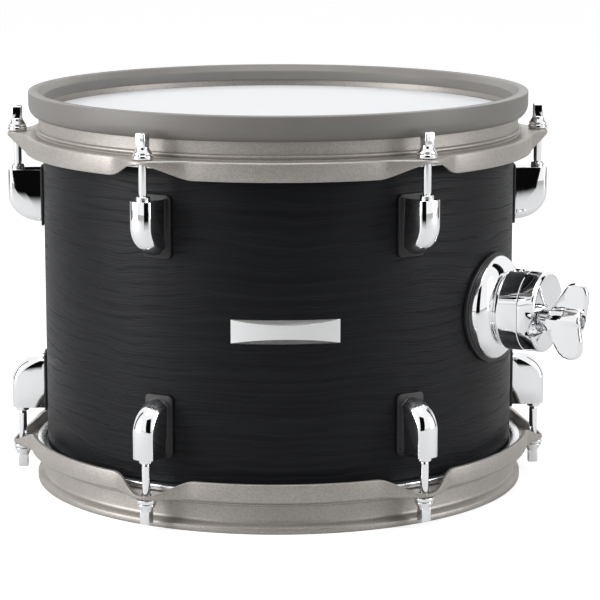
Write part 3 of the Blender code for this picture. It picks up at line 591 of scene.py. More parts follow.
flag_felt = make_flag_felt("flag_felt_finish")
flag("front_flag", 0, 2.1, 1.9, 2.2)
flag("left_flag", 105, 1.5, 0.35, 1.6)
flag("right_flag", -105, 1.5, 0.35, 1.6)
flag("back_flag", 180, 1.8, 0.6, 1.2)
floor_flag("front_floor_flag", 24, 0.60, 2.6)
print("studio is set")

# %% [markdown]
# ## Stained oak
#
# The shell is veneered with open-pored oak, stained almost black, with its grain running round
# the drum. Growth lines are contours of a slowly varying height, which gives wavy lines and a
# few closed flames, and the pores are short dark dashes along them. Everything is computed
# from the place in space, so the pattern has no seam.

# %% Stained oak
GROWTH_LINES = 135.0


def make_oak():
    oak = Finish("stained_oak_finish", Specular_IOR_Level=0.16)
    x, y, z = (oak.part(oak.place, axis) for axis in range(3))
    drift = oak.noise((7.0, 7.0, 12.0), detail=1.5)
    ripple = oak.noise((38.0, 38.0, 60.0), detail=2.0)
    level = z + 0.034 * drift + 0.0035 * ripple

    def along_grain(round_drum, across):
        """A place with coarse steps round the drum and fine ones across the grain."""
        inputs = {0: x * round_drum, 1: y * round_drum, 2: level * across}
        return oak.node("ShaderNodeCombineXYZ", None, inputs)

    early = (level * GROWTH_LINES).fraction().between(0.35, 1.0)
    pores = oak.noise_at(along_grain(26.0, 1500.0), detail=2.0)
    open_pores = pores.between(0.47, 0.62) * (0.30 + 0.70 * early)
    streaks = oak.noise_at(along_grain(5.0, 330.0), detail=4.0, roughness=0.65)
    tone = streaks.between(0.30, 0.75) * 0.75 + early * 0.25
    colour = oak.blend(tone, (0.0030, 0.0034, 0.0047), (0.0104, 0.0114, 0.0142))
    colour = oak.blend(open_pores * 0.75, colour, (0.0012, 0.0013, 0.0017))
    oak.set(Base_Color=colour, Roughness=0.40 + 0.16 * open_pores + 0.08 * streaks)
    oak.bump(streaks * 0.35 + early * 0.25 - open_pores * 0.9, 0.00016)
    return oak


stained_oak = shown(make_oak())

# %% [markdown]
# ## Shell
#
# The shell is a 7 mm wooden tube. Its bearing edges are rounded outside and cut at 45 degrees
# inside, where the head bends over them. It is one lathe profile, then drilled for the studs,
# screws and the jack in a single Boolean with all the drills joined.

# %% Shell
shell_profile = [*arc((149.0, 112.7), 1.6, 0, 90), (143.6, 109.8),
                 (143.6, -109.8), *arc((149.0, -112.7), 1.6, 270, 360)]


def drill(name, radius, low, high, angle, level, steps=24):
    """A cylinder that points outwards from the drum's axis at an angle and level."""
    clear_bench()
    bpy.ops.mesh.primitive_cylinder_add(vertices=steps, radius=radius * MM, depth=(high - low) * MM)
    tool = put(named(name), ((high + low) / 2 * MM, 0, level * MM), (0, pi / 2, 0))
    return put(tool, rotation=(0, 0, angle))


def joined(name, pieces):
    """Join pieces into one object."""
    take(*pieces)
    bpy.ops.object.join()
    return named(name)


shell = lathe("oak_shell", shell_profile)
drills = [drill("stud_hole", 3.0, *THROUGH_WALL, angle, side * STUD_LEVEL)
          for angle in lug_angles() for side in (1, -1)]
drills += [drill("screw_hole", 2.3, *THROUGH_WALL, BRACKET_ANGLE, side * SCREW_LEVEL) for side in (1, -1)]
drills.append(drill("jack_hole", 5.4, *THROUGH_WALL, JACK_ANGLE, JACK_LEVEL))
combine(shell, "DIFFERENCE", joined("shell_drills", drills))
put_on_drum(smooth(shell, 30))
hand_over(shell, stained_oak, "drum", "stained_oak", "shell")

# %% [markdown]
# ## Heads and flesh hoops
#
# The playing head is a white woven mesh, and the head underneath is black film. Each is a thin
# disc, rounded over the bearing edge, with a collar held by a square aluminium flesh hoop.

# %% Woven head
WEAVE_PITCH = 0.0009


def make_woven_head():
    head = Finish("woven_head_finish", Specular_IOR_Level=0.35, Sheen_Weight=0.15, Sheen_Roughness=0.4)
    x, y = (head.part(head.place, axis) for axis in range(2))
    warp, weft = ((side * (2 * pi / WEAVE_PITCH)).sine().magnitude() for side in (x, y))
    weave = warp * 0.5 + weft * 0.5
    cloud = head.noise(9.0, detail=3.0)
    colour = head.blend(weave * 0.30 + cloud * 0.25, (0.72, 0.735, 0.76), (0.84, 0.855, 0.87))
    head.set(Base_Color=colour, Roughness=0.55 + 0.12 * cloud)
    head.bump(weave, 0.00008, strength=0.6)
    return head


woven_head = shown(make_woven_head())

# %% Black film


def make_black_film():
    film = Finish("black_film_finish", Specular_IOR_Level=0.45)
    haze = film.noise(14.0, detail=4.0)
    grit = film.noise(2200.0, detail=2.0)
    film.set(Base_Color=film.blend(haze, (0.012, 0.012, 0.013), (0.020, 0.020, 0.022)),
             Roughness=0.22 + 0.18 * haze)
    film.bump(grit, 0.00002)
    return film


black_film = shown(make_black_film())

# %% Spun aluminium


def make_spun_aluminium():
    metal = Finish("spun_aluminium_finish", Metallic=1.0)
    lines = metal.noise((4.0, 4.0, 5200.0), detail=3.0, roughness=0.6)
    haze = metal.noise(30.0, detail=2.0)
    metal.set(Base_Color=metal.blend(lines, (0.70, 0.71, 0.73), (0.90, 0.91, 0.93)),
              Roughness=0.14 + 0.14 * lines + 0.05 * haze)
    metal.bump(lines, 0.00002, strength=0.5)
    return metal


spun_aluminium = shown(make_spun_aluminium())

# %% Heads
head_profile = [
    (0, 115.1), (60, 115.1), (120, 115.1), *arc((149.2, 112.9), 2.2, 90, 0), (151.4, 97.4), (150.9, 97.4),
    *arc((149.2, 112.9), 1.7, 0, 90), (120, 114.6), (60, 114.6), (0, 114.6)]
playing_head = smooth(lathe("playing_head", head_profile))
lower_head = copy_of(playing_head, "lower_head")
hand_over(put_on_drum(playing_head), woven_head, "drum", "mesh_head", "batter_head")
hand_over(put_on_drum(lower_head, turned_over=True), black_film, "drum", "black_film", "resonant_head")

# %% Flesh hoops
flesh_profile = [
    *arc((156.7, 98.7), 0.8, 0, 90, 3), *arc((152.5, 98.7), 0.8, 90, 180, 3),
    *arc((152.5, 96.7), 0.8, 180, 270, 3), *arc((156.7, 96.7), 0.8, 270, 360, 3)]
upper_flesh_hoop = smooth(lathe("upper_flesh_hoop", flesh_profile))
lower_flesh_hoop = copy_of(upper_flesh_hoop, "lower_flesh_hoop")
hand_over(put_on_drum(upper_flesh_hoop), spun_aluminium, "drum", "aluminium", "batter_flesh_hoop")
hand_over(put_on_drum(lower_flesh_hoop, turned_over=True), spun_aluminium, "drum", "aluminium",
          "resonant_flesh_hoop")

# %% [markdown]
# ## Rim cover
#
# A warm grey rubber cover grips the batter hoop's lip, so that rim strokes don't ring. Its
# section is a hood: a flat top with a chamfer inside, a short inner wall, and an outer wall
# that rounds in to the hoop's neck as a quarter of an ellipse. One profile on the lathe makes
# it, with a groove inside for the lip.

# %% Rim rubber


def make_rim_rubber():
    rubber = Finish("rim_rubber_finish", Specular_IOR_Level=0.55)
    grain = rubber.noise(1500.0, detail=3.0, roughness=0.6)
    mottle = rubber.noise(45.0, detail=3.0)
    colour = rubber.blend(grain * 0.6 + mottle * 0.4, (0.150, 0.142, 0.132), (0.222, 0.210, 0.197))
    rubber.set(Base_Color=colour, Roughness=0.40 + 0.14 * grain)
    rubber.bump(grain, 0.00008, strength=0.7)
    return rubber


rim_rubber = shown(make_rim_rubber())

# %% Rim cover
outer_wall = [(154.1 + 5.35 * sin(turn), 121.0 - 7.5 * cos(turn)) for turn in turns(0, 90, 10)]
cover_profile = [
    *arc((150.15, 119.5), 0.5, 180, 270, 3), (151.45, 119.0), (151.45, 122.8), (157.65, 122.8),
    (157.65, 118.5), (153.55, 116.1), (153.55, 113.7), *outer_wall, *arc((158.75, 128.3), 0.7, 0, 90, 4),
    *arc((153.5, 127.8), 1.2, 90, 135, 3), *arc((150.85, 124.7), 1.2, 135, 180, 3)]
rim_cover = put_on_drum(smooth(lathe("rim_cover_rubber", cover_profile), 50))
hand_over(rim_cover, rim_rubber, "drum", "rim_rubber", "rim_cover")

# %% [markdown]
# ## Die-cast hoops
#
# The hoop is the most skilful shape here: a lip, a neck with a half-round bead, and a flange
# that ends in a deep skirt, which sweeps out and up to a thin ear at each rod. It could be
# sculpted with proportional editing, but a casting is exact. So the full section is spun
# through a twelfth of the ring only, each station is pulled outwards and up by a smooth ramp,
# and the twelfth is mirrored and copied round.

# %% Hoop metal


def make_hoop_metal():
    metal = Finish("hoop_metal_finish", Specular_IOR_Level=0.5)
    flakes = metal.node("ShaderNodeTexVoronoi", {"feature": "F1"},
                        {"Vector": metal.place, "Scale": 2400.0}, output="Color")
    sparkle = metal.part(flakes, 0)
    mottle = metal.noise(70.0, detail=3.0)
    colour = metal.blend(sparkle * 0.7 + mottle * 0.3, (0.280, 0.260, 0.242), (0.500, 0.470, 0.440))
    metal.set(Base_Color=colour, Metallic=0.46 + 0.2 * sparkle, Roughness=0.38 + 0.14 * sparkle)
    metal.bump(metal.noise(1900.0, detail=2.0), 0.00004, strength=0.6)
    return metal


hoop_metal = shown(make_hoop_metal())

# %% Hoop section and ramp
EAR_REACH = 11.2 * MM
EAR_INNER_REACH = 12.8 * MM
EAR_SQUASH = 8.6 / 9.2
EAR_THINNING = 0.9 * MM
EAR_LEVEL = 101.0 * MM
SWEEP_HALF_ARC = 28.0 * MM
LIFT_HALF_ARC = 30.0 * MM
LEAST_LIFT = 0.0005
HOOP_STATIONS = 36
STATION_SPREAD = 0.002
FLANGE_BOTTOM = 99.8 * MM
SKIRT_TOP = 102.5 * MM
SKIRT_FROM = 156.5 * MM
INNER_WALL_TOP = 100.1 * MM
INNER_WALL_FROM = 158.0 * MM
OUTER_WALL_FROM = 160.6 * MM
BEYOND_HOOP = 1.0
hoop_profile = [
    *arc((152.35, 121.9), 0.6, 180, 90, 3), *arc((156.75, 121.9), 0.6, 90, 0, 3), (157.35, 119.0),
    (157.1, 118.6), *arc((155.9, 114.6), 2.65, 118, 180, 4), (153.25, 106.1), (153.55, 105.8),
    *arc((154.1, 104.6), 1.2, 80, -60, 6), (154.35, 102.9), (154.75, 102.4), (158.2, 102.4),
    *arc((160.65, 100.8), 1.6, 90, 0, 5), (162.25, 97.0), *arc((161.55, 91.3), 0.7, 0, -90, 3),
    *arc((160.15, 91.3), 0.7, -90, -180, 3), (159.45, 97.0), *arc((158.8, 99.15), 0.65, 0, 90, 3),
    (154.6, 99.8), (151.75, 99.8)]


def ramp(share):
    """A smooth rise from 0 to 1."""
    share = min(max(share, 0.0), 1.0)
    return share * share * (3 - 2 * share)


print("hoop section has", len(hoop_profile), "points")

# %% Hoop


def pick_section(hoop, angle, low, high=BEYOND_HOOP, top=SKIRT_TOP):
    """Select the vertices of the section at an angle, between two radii and under a level."""
    def in_section(point):
        at_station = abs(atan2(point.y, point.x) - angle) < STATION_SPREAD
        return at_station and low < hypot(point.x, point.y) < high and point.z < top
    return pick(hoop, in_section)


def shape_station(hoop, angle):
    """Pull one station's flange and skirt out and up, the more the nearer it is to the ear."""
    pull = 1 - ramp(angle * ROD_CIRCLE / SWEEP_HALF_ARC)
    lift = 1 - ramp(angle * ROD_CIRCLE / LIFT_HALF_ARC)
    if lift < LEAST_LIFT:
        return
    outwards = Vector((cos(angle), sin(angle), 0.0))
    if pick_section(hoop, angle, OUTER_WALL_FROM):
        bpy.ops.transform.translate(value=outwards * EAR_REACH * pull)
    if pick_section(hoop, angle, INNER_WALL_FROM, OUTER_WALL_FROM, INNER_WALL_TOP):
        bpy.ops.transform.translate(value=outwards * EAR_INNER_REACH * pull)
    if pick_section(hoop, angle, SKIRT_FROM, top=FLANGE_BOTTOM + 0.01 * MM):
        squash = (1, 1, 1 - EAR_SQUASH * lift)
        bpy.ops.transform.resize(value=squash, center_override=(0, 0, FLANGE_BOTTOM))
        bpy.ops.transform.translate(value=(0, 0, EAR_THINNING * lift))


def make_hoop():
    hoop = wire("upper_hoop", [*hoop_profile, hoop_profile[0]])
    spin(HOOP_STATIONS, -pi / EAR_COUNT)
    weld()
    for station in range(HOOP_STATIONS + 1):
        shape_station(hoop, station * pi / EAR_COUNT / HOOP_STATIONS)
    apply_modifier(hoop, "MIRROR", use_axis=(False, True, False), use_mirror_merge=True,
                   merge_threshold=WELD_DISTANCE)
    edit(hoop)
    spin(EAR_COUNT - 1, 2 * pi * (EAR_COUNT - 1) / EAR_COUNT, copies=True)
    return close_up(hoop)


def rod_hole(angle):
    """A drill that stands on the rod circle, through the ear at an angle."""
    hole = put(drill("rod_hole", 3.2, -6, 6, 0, 0, 32), rotation=(0, pi / 2, 0))
    return put(hole, (ROD_CIRCLE * cos(angle), ROD_CIRCLE * sin(angle), EAR_LEVEL))


upper_hoop = make_hoop()
combine(upper_hoop, "DIFFERENCE", joined("rod_holes", [rod_hole(angle) for angle in lug_angles()]))
smooth(upper_hoop, 40)
lower_hoop = copy_of(upper_hoop, "lower_hoop")
hand_over(put_on_drum(upper_hoop), hoop_metal, "drum", "hoop_metal", "batter_hoop")
hand_over(put_on_drum(lower_hoop, turned_over=True), hoop_metal, "drum", "hoop_metal", "resonant_hoop")

# %% [markdown]
# ## Chrome and black rubber
#
# Chrome is a mirror with a faint blue cast. What makes it look cast and handled is a very slow
# waviness and a haze of fine smudges. The gaskets are soft black rubber with a fine tooth.

# %% Chrome


def make_chrome():
    chrome = Finish("chrome_finish", Metallic=1.0)
    smudge = chrome.noise(55.0, detail=4.0, roughness=0.6)
    wave = chrome.noise(120.0, detail=1.0)
    chrome.set(Base_Color=chrome.blend(smudge, (0.86, 0.87, 0.885), (0.93, 0.935, 0.945)),
               Roughness=0.025 + 0.06 * smudge.between(0.4, 0.8))
    chrome.bump(wave, 0.00006, strength=0.5)
    return chrome


chrome = shown(make_chrome())

# %% Black rubber


def make_black_rubber():
    rubber = Finish("black_rubber_finish", Specular_IOR_Level=0.4)
    tooth = rubber.noise(1800.0, detail=3.0)
    bloom = rubber.noise(60.0, detail=3.0)
    rubber.set(Base_Color=rubber.blend(bloom, (0.008, 0.008, 0.009), (0.020, 0.020, 0.022)),
               Roughness=0.38 + 0.2 * tooth)
    rubber.bump(tooth, 0.00005, strength=0.6)
    return rubber


black_rubber = shown(make_black_rubber())

# %% [markdown]
# ## Lugs
#
# A lug is a chromed casting: straight at the top, sweeping in to the shell at the bottom, with
# a softly crowned face. Its side outline is drawn as a wire, filled, and extruded across the
# lug in steps that swell towards the middle, which is how the crown comes about. A bush on
# top takes the rod, and a screw from inside holds the casting on its rubber gasket.

# %% Lug casting
LUG_HALF_WIDTH = 6.9 * MM
LUG_BASE_SPREAD = 0.8 * MM
LUG_SEAT = 152.2
LUG_FACE = 173.55
LUG_DEPTH = LUG_FACE - LUG_SEAT
LUG_TOP = 78.0
LUG_SWEEP = 17.6
LUG_NOSE = 3.3
LUG_STEPS = 14


def lug_scale(share):
    """How far the outline swells at a share of the half width, from the crown's section."""
    return 1 - LUG_NOSE * (1 - sqrt(1 - share * share)) / LUG_DEPTH


def make_lug_casting():
    sweep = [(LUG_SEAT + LUG_DEPTH * cos(turn), STUD_LEVEL - LUG_SWEEP * sin(turn))
             for turn in turns(0, 90, 14)]
    casting = filled("lug_casting", [(LUG_SEAT, LUG_TOP), (LUG_FACE, LUG_TOP), *sweep])
    corner = Vector((LUG_SEAT * MM, 0, LUG_TOP * MM))
    shares = [sin(turn) for turn in turns(-88, 88, LUG_STEPS)]
    bpy.ops.transform.translate(value=(0, shares[0] * LUG_HALF_WIDTH, 0))
    swell = lug_scale(shares[0])
    bpy.ops.transform.resize(value=(swell, 1, swell), center_override=corner)
    for before, after in zip(shares, shares[1:]):
        extrude((0, (after - before) * LUG_HALF_WIDTH, 0))
        swell = lug_scale(after) / lug_scale(before)
        bpy.ops.transform.resize(value=(swell, 1, swell), center_override=corner)
    close_up(casting)
    for vertex in casting.data.vertices:
        lean = (LUG_FACE * MM - vertex.co.x) / (LUG_DEPTH * MM)
        vertex.co.y *= 1 + lean * LUG_BASE_SPREAD / LUG_HALF_WIDTH
    soften(casting, 0.45 * MM, 42, 3)
    bush = lathe("rod_bush", [(0, 74), (4.2, 74), (4.2, 80.1), (3.7, 80.8), (0, 80.8)], 48)
    screw = lathe("lug_screw", [(0, 139.8), (4.4, 139.8), (5.0, 140.6), (5.0, 143.2), (2.5, 143.2),
                                (2.5, 156), (0, 156)], 32)
    bore = lathe("rod_bore", [(0, 55.4), (3.2, 55.4), (3.2, 84), (0, 84)], 40)
    combine(casting, "UNION", put(bush, (ROD_CIRCLE, 0, 0)),
            put(screw, (0, 0, STUD_LEVEL * MM), (0, pi / 2, 0)))
    combine(casting, "DIFFERENCE", put(bore, (ROD_CIRCLE, 0, 0)))
    return smooth(casting, 32)


lug_casting = report(make_lug_casting())

# %% Lug gasket


def make_lug_gasket():
    outline = [*arc((6.5, 76.8), 3.0, 90, 0), *arc((6.5, 44.7), 3.0, 0, -90),
               *arc((-6.5, 44.7), 3.0, -90, -180), *arc((-6.5, 76.8), 3.0, 180, 90)]
    gasket = filled("lug_gasket", outline)
    extrude((0, 30 * MM, 0))
    put(close_up(gasket), (180 * MM, 0, 0), (0, 0, pi / 2))
    stock = lathe("gasket_stock", [(150.85, 30), (152.5, 30), (152.5, 90), (150.85, 90)])
    combine(gasket, "INTERSECT", stock)
    combine(gasket, "DIFFERENCE", drill("gasket_hole", 2.6, 145, 156, 0, STUD_LEVEL))
    soften(gasket, 0.35 * MM, 50, 2)
    return smooth(gasket, 32)


lug_gasket = report(make_lug_gasket())

# %% [markdown]
# ## Rods and washers
#
# A key rod has a square head for the drum key, a domed flange under it, a plain shank and a
# thread. The thread here is a stack of fine grooves at the true pitch, which looks the same as
# a helix at this size. The washer under each flange moves up and down with its rod.

# %% Steel


def make_steel():
    steel = Finish("steel_finish", Metallic=1.0)
    haze = steel.noise(90.0, detail=4.0)
    lines = steel.noise((900.0, 900.0, 900.0), detail=2.0)
    steel.set(Base_Color=steel.blend(haze, (0.55, 0.56, 0.57), (0.78, 0.79, 0.80)),
              Roughness=0.16 + 0.16 * haze + 0.06 * lines)
    steel.bump(lines, 0.00002, strength=0.4)
    return steel


steel = shown(make_steel())

# %% Key rod
THREAD_PITCH = 1.06
KEY_SQUARE = 6.35


def thread(start, end, crest, root):
    """Grooves from one level up to another."""
    count = int((end - start) / THREAD_PITCH)
    points = []
    for groove in range(count):
        level = start + groove * THREAD_PITCH
        points += [(root, level), (crest, level + 0.36 * THREAD_PITCH),
                   (crest, level + 0.64 * THREAD_PITCH)]
    return [*points, (root, start + count * THREAD_PITCH)]


def make_key_rod():
    profile = [(0, 56.0), (1.9, 56.0), *thread(56.6, 81.0, 2.72, 2.3), (2.6, 82.6), (2.6, 105.5),
               *arc((5.45, 105.85), 0.35, -90, 0, 3), (5.8, 106.3), (5.55, 106.8), (4.75, 107.9),
               (4.0, 109.2), (3.7, 110.2), (3.3, 110.5), (0, 110.5)]
    rod = lathe("key_rod", profile, 32)
    half = KEY_SQUARE / 2
    head = brick("key_head", (-half, -half, 109.3), (half, half, 118.2))
    combine(rod, "UNION", soften(head, 0.75 * MM, 60, 3))
    return smooth(rod, 32)


key_rod = report(make_key_rod())
washer_profile = [*arc((5.65, 104.7), 0.5, 0, 90, 3), *arc((3.6, 104.8), 0.4, 90, 180, 3),
                  *arc((3.6, 103.1), 0.4, 180, 270, 3), *arc((5.65, 103.2), 0.5, 270, 360, 3)]
rod_washer = smooth(lathe("rod_washer", washer_profile, 48), 40)

# %% Lugs, rods and washers round the drum
for side, turned_over in (("batter", False), ("resonant", True)):
    for index, angle in enumerate(lug_angles(), start=1):
        casting = put_on_drum(copy_of(lug_casting, f"{side}_lug_casting_{index}"), angle, turned_over)
        hand_over(casting, chrome, "drum", "chrome", f"{side}_lug_{index}")
        gasket = put_on_drum(copy_of(lug_gasket, f"{side}_lug_gasket_{index}"), angle, turned_over)
        hand_over(gasket, black_rubber, "drum", "black_rubber", f"{side}_lug_{index}")
        for kind, pattern, body in (("key_rod", key_rod, "rod"), ("rod_washer", rod_washer, "washer")):
            piece = put(copy_of(pattern, f"{side}_{kind}_{index}"), (ROD_CIRCLE, 0, 0))
            put_on_drum(piece, angle, turned_over)
            hand_over(piece, chrome, f"{side}_{body}_{index}", "chrome", f"{side}_{body}_{index}")
for pattern in (lug_casting, lug_gasket, key_rod, rod_washer):
    bpy.data.objects.remove(pattern)

# %% [markdown]
# ## Badge
#
# The badge is a bare plate, bent to the shell: a satin face between two polished bevels that
# grow towards the middle, where the face is crowned. A closed outline is spun through the
# badge's own angle only, its two ends are filled, and the face is then raised and narrowed at
# each station. The finish tells a bevel from the face by how far its normal points up or down.

# %% Plated face


def make_badge_metal():
    plate = Finish("badge_metal_finish")
    up = plate.node("ShaderNodeNewGeometry", output="Normal")
    bevel = plate.part(up, 2).magnitude().between(0.15, 0.35)
    lines = plate.noise((60.0, 60.0, 2600.0), detail=3.0, roughness=0.6)
    haze = plate.noise(40.0, detail=3.0)
    face = plate.blend(lines * 0.5 + haze * 0.5, (0.80, 0.81, 0.815), (0.90, 0.905, 0.91))
    plate.set(Base_Color=plate.blend(bevel, face, (0.62, 0.62, 0.61)), Metallic=0.12 + 0.80 * bevel,
              Roughness=0.30 - 0.18 * bevel + 0.10 * lines + 0.06 * haze)
    plate.bump(lines, 0.00001, strength=0.4)
    return plate


badge_metal = shown(make_badge_metal())

# %% Badge
BADGE_HALF_LENGTH = 32.25
BADGE_FACE_FROM = 151.9 * MM
BADGE_CROWN = 3.0
BADGE_TOP_INSET = 0.8
BADGE_BOTTOM_INSET = 1.1
BADGE_STATIONS = 64


def make_badge():
    half_turn = asin(BADGE_HALF_LENGTH / SHELL_RADIUS)
    outline = [(150.9, -7.3), (150.9, 7.3), (151.7, 7.3), (152.0, 7.0), (152.0, -7.0), (151.7, -7.3)]
    badge = wire("badge_plate", [*outline, outline[0]])
    weld()
    bpy.ops.transform.rotate(value=half_turn + pi / 2, orient_axis="Z", center_override=(0, 0, 0))
    spin(BADGE_STATIONS, -2 * half_turn)
    for side in (-1, 1):
        bpy.ops.mesh.select_all(action="DESELECT")
        for edge in bmesh.from_edit_mesh(badge.data).edges:
            if edge.is_boundary and edge.verts[0].co.x * side > 0:
                edge.select_set(True)
        bpy.ops.mesh.edge_face_add()
    close_up(badge)
    for vertex in badge.data.vertices:
        radius, turn = hypot(vertex.co.x, vertex.co.y), atan2(vertex.co.x, -vertex.co.y)
        if radius > BADGE_FACE_FROM:
            share = sin(turn) * SHELL_RADIUS / BADGE_HALF_LENGTH
            crown = BADGE_CROWN * max(0.0, 1 - share * share) * MM
            vertex.co.x *= 1 + crown / radius
            vertex.co.y *= 1 + crown / radius
            vertex.co.z -= crown * (BADGE_TOP_INSET if vertex.co.z > 0 else -BADGE_BOTTOM_INSET)
    soften(badge, 0.12 * MM, 15, 2)
    return put_on_drum(smooth(badge, 12))


hand_over(make_badge(), badge_metal, "drum", "chrome", "badge")

# %% [markdown]
# ## Rod bracket
#
# A gasket and a domed plate carry a split barrel that grips the drum's mounting rod. An eye
# bolt, whose ring lies round that rod inside the barrel, draws the outer half down with its
# washer and wing nut. All the round shapes are turned and laid along the bracket's axis. The
# back is cut to the shell with a cylinder, and boxes cut the slot for the eye bolt, the channel
# and the two flats, which lean in outwards a little, as a casting's draft does.

# %% Bracket helpers


def lay_down(piece):
    """Lay a turned piece along +X, so that its levels become distances from the drum's axis."""
    return put(piece, rotation=(0, pi / 2, 0))


def upright(name, radius, low, high, steps=64):
    """A cylinder on Z between two levels in millimetres."""
    return lathe(name, [(0, low), (radius, low), (radius, high), (0, high)], steps)


FLAT_DISTANCE = 23.2
FLAT_LEAN = 0.045
FLAT_MIDDLE = 0.177


def cut_flats(piece, start, end):
    """Mill the two flats on the clamp's barrel."""
    for sign in (1, -1):
        near, far = sorted((sign * FLAT_DISTANCE, sign * 60.0))
        tool = brick("flat", (start, near, -60), (end, far, 60))
        for vertex in tool.data.vertices:
            vertex.co.y += sign * FLAT_LEAN * (FLAT_MIDDLE - vertex.co.x)
        combine(piece, "DIFFERENCE", tool)


# %% Bracket gasket


def make_bracket_gasket():
    disc = lay_down(lathe("bracket_gasket_ring", [(20, 140), (34.3, 140), (34.3, 160), (20, 160)], 128))
    stock = lathe("gasket_stock", [(150.9, -50), (152.9, -50), (152.9, 50), (150.9, 50)])
    combine(disc, "INTERSECT", stock)
    soften(disc, 0.4 * MM, 50, 2)
    return put_on_drum(smooth(disc, 32), BRACKET_ANGLE)


hand_over(make_bracket_gasket(), black_rubber, "drum", "black_rubber", "bracket_gasket")

# %% Bracket base
DOME_POWER = 1.35


def dome():
    """The plate's bulging top, from its edge in to the waist."""
    return [(22.6 + 9.8 * cos(turn) ** DOME_POWER, 154.3 + 7.3 * sin(turn) ** DOME_POWER)
            for turn in turns(0, 90, 18)]


def make_bracket_base():
    profile = [(0, 142), (32.4, 142), *dome()[:-1], (22.6, 161.6), (22.6, 162.4), (23.2, 163.3),
               (24.3, 164.2), (25.0, 165.2), (25.0, 176.9), (24.6, 177.3), (0, 177.3)]
    base = lay_down(lathe("clamp_base", profile, 128))
    combine(base, "DIFFERENCE", upright("saddle", 153.2, -60, 60, ROUND_STEPS))
    cut_flats(base, 161.96, 240)
    combine(base, "DIFFERENCE", put(upright("bore", 5.6, -60, 60), (BORE_CENTRE, 0, 0)),
            brick("slot", (159.6, -8.9, -8.4), (190, 8.9, 0.0)),
            *[drill("screw_hole", 2.2, 140, 159.5, 0, side * SCREW_LEVEL) for side in (1, -1)])
    soften(base, 0.35 * MM, 48, 3)
    return put_on_drum(smooth(base, 32), BRACKET_ANGLE)


hand_over(make_bracket_base(), chrome, "drum", "chrome", "bracket_base")

# %% Bracket cap


def make_bracket_cap():
    profile = [(0, 177.6), (24.6, 177.6), (25.0, 178.0), (25.0, 186.3),
               *arc((22.8, 186.4), 2.2, 0, 90, 6), (0, 188.6)]
    cap = lay_down(lathe("clamp_cap_half", profile, 128))
    cut_flats(cap, 150, 240)
    level = BOLT_LEVEL / MM
    combine(cap, "DIFFERENCE", brick("channel", (183.0, -60, -11.7), (240, 60, 3.3)),
            drill("well", 8.3, 180.6, 240, 0, level, 64), drill("bolt_hole", 4.3, 150, 240, 0, level, 48))
    soften(cap, 0.5 * MM, 48, 3)
    return put_on_drum(smooth(cap, 32), BRACKET_ANGLE)


hand_over(make_bracket_cap(), chrome, "clamp_cap", "chrome", "bracket_cap")

# %% Eye bolt and washer


def make_eye_bolt():
    ring = [*arc((8.1, 3.4), 0.5, 0, 90, 2), *arc((6.275, 3.4), 0.5, 90, 180, 2),
            *arc((6.275, -3.4), 0.5, 180, 270, 2), *arc((8.1, -3.4), 0.5, 270, 360, 2)]
    bolt = put(lathe("clamp_eye_bolt", ring, 72), (BORE_CENTRE, 0, 0))
    shank = lathe("shank", [(0, 175.6), (3.5, 175.6), *thread(184.0, 207.6, 3.58, 3.1), (3.1, 208.1),
                            (2.6, 208.8), (0, 208.8)], 40)
    combine(bolt, "UNION", lay_down(shank))
    put(smooth(bolt, 32), (0, 0, BOLT_LEVEL))
    return put_on_drum(bolt, BRACKET_ANGLE)


hand_over(make_eye_bolt(), steel, "drum", "steel", "eye_bolt")
washer_section = [*arc((7.3, 182.1), 0.4, 0, 90, 3), (4.5, 182.5), (4.3, 182.3), (4.3, 181.1),
                  (4.5, 180.9), *arc((7.3, 181.3), 0.4, 270, 360, 3)]
bolt_washer = put(lay_down(lathe("clamp_bolt_washer", washer_section, 64)), (0, 0, BOLT_LEVEL))
put_on_drum(smooth(bolt_washer, 40), BRACKET_ANGLE)
hand_over(bolt_washer, steel, "clamp_cap", "steel", "clamp_washer")

# %% [markdown]
# ## Wing nut
#
# A die-cast wing nut has no sharp edge anywhere: the wings flow out of the hub, and each lies
# to its own side of the middle. The hub is turned and widens outwards, each wing is an outline
# that is filled, extruded and softened, and all three are united. A voxel remesh and a few
# smoothing passes then melt the joints, as the polishing of the casting does, and the bore is
# drilled last so that it stays crisp.

# %% Wing nut
WING_START = 182.8
WING_LENGTH = 30.5
WING_REACH = 23.4
WING_OFFSET = 4.4
WING_THICKNESS = 4.8
WING_OUTLINE = [(0.05, -0.08), (0.07, 0.05), (0.16, 0.16), (0.29, 0.40), (0.40, 0.65), (0.50, 0.85),
                (0.61, 0.96), (0.74, 1.0), (0.86, 0.975), (0.94, 0.91), (0.985, 0.82), (1.0, 0.70),
                (1.0, 0.50), (0.985, 0.36), (0.97, 0.24), (0.955, 0.10), (0.95, -0.08)]


def make_wing(sign):
    outline = [(WING_START + along * WING_LENGTH, sign * out * WING_REACH) for along, out in WING_OUTLINE]
    wing = filled("wing", outline)
    bpy.ops.transform.translate(value=(0, (sign * WING_OFFSET - WING_THICKNESS / 2) * MM, 0))
    extrude((0, WING_THICKNESS * MM, 0))
    return soften(close_up(wing), 1.5 * MM, 60, 4)


